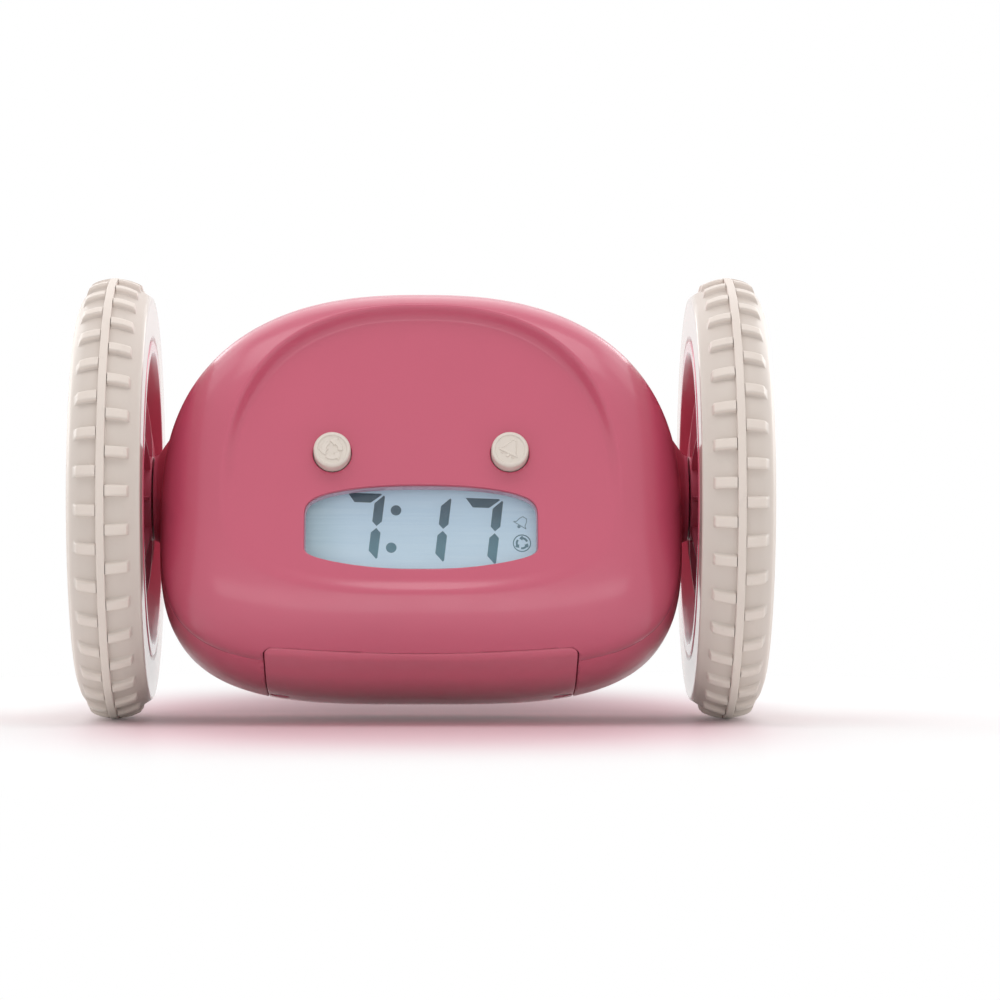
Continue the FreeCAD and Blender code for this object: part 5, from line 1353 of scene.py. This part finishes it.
# the pink tint on the floor round the object is painted pink bounce light and painted shadow, and the shade behind it a
# darker painted shadow, both by distances in metres
studio = {
    "camera": (0.0, -0.820, 0.044), "lens": 147.6, "shift": (0.0790, -0.0015), "worldLight": 0.60,
    "floor": 0.86, "floorGloss": 0.18, "floorBlur": 0.25, "nearGlow": 0.05, "shadowReach": (0.07, 0.22),
    "pinkBounceShade": (0.80, 0.56, 0.61), "pinkBounceShadeAcross": (0.045, 0.085), "pinkBounceShadeAway": (0.05, 0.15),
    "shade": (0.30, 0.19, 0.21), "shadeNear": (-0.005, 0.03), "shadeFar": (0.06, 0.20), "shadeAcross": (0.010, 0.085),
}
lamps = {
    "over": {"at": (0.0, -0.35, 0.95), "size": (1.2, 0.5), "power": 3.6},
    "low": {"at": (0.0, -1.15, 0.10), "size": (1.4, 0.2), "power": 1.3},
    "behind": {"at": (0.0, 0.55, 0.80), "size": (1.8, 0.7), "power": 3.0},
    "left": {"at": (-1.0, 0.05, 0.75), "size": (0.7, 0.9), "power": 1.8},
    "right": {"at": (1.0, 0.05, 0.75), "size": (0.7, 0.9), "power": 1.8},
    "backLeft": {"at": (-0.8, 0.9, 0.45), "size": (0.7, 0.7), "power": 3.6},
    "backRight": {"at": (0.8, 0.9, 0.45), "size": (0.7, 0.7), "power": 3.6},
}


def floorMaterial():
    # a white sheet that keeps the shadow; camera, mirror and glass rays see it glow white away from the object, and
    # camera rays see a painted pink tint of bounce light and shadow round it and a painted shadow behind it
    maker = Maker("pale_floor")
    grain = maker.noise(6, 2)
    tone = maker.mix(grain, (studio["floor"],) * 3, (studio["floor"] + 0.02,) * 3)
    away = maker.node("ShaderNodeVectorMath", {"operation": "LENGTH"}, {0: maker.place}, "Value")
    path = maker.tree.nodes.new("ShaderNodeLightPath")
    seen = Wire(maker, path.outputs["Is Camera Ray"])
    across, back = abs(maker.split("X")), maker.split("Y")
    # painted pink bounce light and shadow round the object, seen by camera rays only
    pinkBounceShaded = maker.ramp(across, 1.0, 0.0, *studio["pinkBounceShadeAcross"]) * maker.ramp(away, 1.0, 0.0, *studio["pinkBounceShadeAway"])
    tone = maker.mix(seen * pinkBounceShaded, tone, studio["pinkBounceShade"])
    # painted shadow behind the object, seen by camera rays only
    behind = maker.ramp(back, 0.0, 1.0, *studio["shadeNear"]) * maker.ramp(back, 1.0, 0.0, *studio["shadeFar"])
    shaded = behind * maker.ramp(across, 1.0, 0.0, *studio["shadeAcross"])
    tone = maker.mix(seen * shaded, tone, studio["shade"])
    matte = maker.node("ShaderNodeBsdfDiffuse", {}, {"Color": tone})
    gloss = maker.node("ShaderNodeBsdfGlossy", {}, {"Roughness": studio["floorBlur"]})
    grazing = maker.node("ShaderNodeFresnel", {}, {"IOR": 1.45}) * studio["floorGloss"]
    sheet = maker.node("ShaderNodeMixShader", {}, {0: grazing, 1: matte, 2: gloss})
    glow = maker.node("ShaderNodeEmission", {}, {"Color": (1, 1, 1, 1), "Strength": 1.0})
    mirrored = Wire(maker, path.outputs["Is Glossy Ray"])
    through = Wire(maker, path.outputs["Is Transmission Ray"])
    glowing = maker.ramp(away, studio["nearGlow"], 1.0, *studio["shadowReach"])
    share = seen.math("MAXIMUM", seen, mirrored.math("MAXIMUM", mirrored, through)) * glowing
    return maker.close(maker.node("ShaderNodeMixShader", {}, {0: share, 1: sheet, 2: glow}))


def link(thing):
    bpy.context.scene.collection.objects.link(thing)


def addFloor(reach=40.0):
    mesh = bpy.data.meshes.new("floor")
    corners = [(-reach, -reach, 0), (reach, -reach, 0), (reach, reach, 0), (-reach, reach, 0)]
    mesh.from_pydata(corners, [], [(0, 1, 2, 3)])
    mesh.materials.append(floorMaterial())
    floor = bpy.data.objects.new("floor", mesh)
    link(floor)


def addLamps():
    # soft boxes that look at the middle of the clock
    for name, lamp in lamps.items():
        light = bpy.data.lights.new(name, "AREA")
        light.shape, light.size, light.size_y = "RECTANGLE", *lamp["size"]
        light.energy = lamp["power"]
        holder = bpy.data.objects.new(name, light)
        holder.location = lamp["at"]
        aim = np.array([0, 0, 0.04]) - np.array(lamp["at"])
        holder.rotation_euler = (pi / 2 + atan2(aim[2], np.hypot(aim[0], aim[1])), 0, atan2(-aim[0], aim[1]))
        link(holder)


def addWorld():
    # a grey light all round, which camera, mirror and glass rays see as white
    world = bpy.data.worlds.new("studio")
    world.use_nodes = True
    tree = world.node_tree
    tree.nodes.clear()
    out = tree.nodes.new("ShaderNodeOutputWorld")
    path = tree.nodes.new("ShaderNodeLightPath")
    strength = tree.nodes.new("ShaderNodeMapRange")
    strength.inputs[3].default_value, strength.inputs[4].default_value = studio["worldLight"], 1.0
    sky = tree.nodes.new("ShaderNodeBackground")
    sky.inputs[0].default_value = (1, 1, 1, 1)
    share = path.outputs["Is Camera Ray"]
    for kind in ("Is Glossy Ray", "Is Transmission Ray"):
        both = tree.nodes.new("ShaderNodeMath")
        both.operation = "MAXIMUM"
        tree.links.new(share, both.inputs[0])
        tree.links.new(path.outputs[kind], both.inputs[1])
        share = both.outputs[0]
    tree.links.new(share, strength.inputs[0])
    tree.links.new(strength.outputs[0], sky.inputs[1])
    tree.links.new(sky.outputs[0], out.inputs[0])
    bpy.context.scene.world = world


def addCamera():
    camera = bpy.data.cameras.new("camera")
    camera.lens, camera.sensor_width = studio["lens"], 36.0
    camera.shift_x, camera.shift_y = studio["shift"]
    camera.clip_start, camera.clip_end = 0.05, 200
    holder = bpy.data.objects.new("camera", camera)
    holder.location = studio["camera"]
    holder.rotation_euler = (pi / 2, 0, 0)
    link(holder)
    bpy.context.scene.camera = holder


addFloor()
addLamps()
addWorld()
addCamera()
bpy.context.scene.view_settings.view_transform = "Standard"
print("studio made")
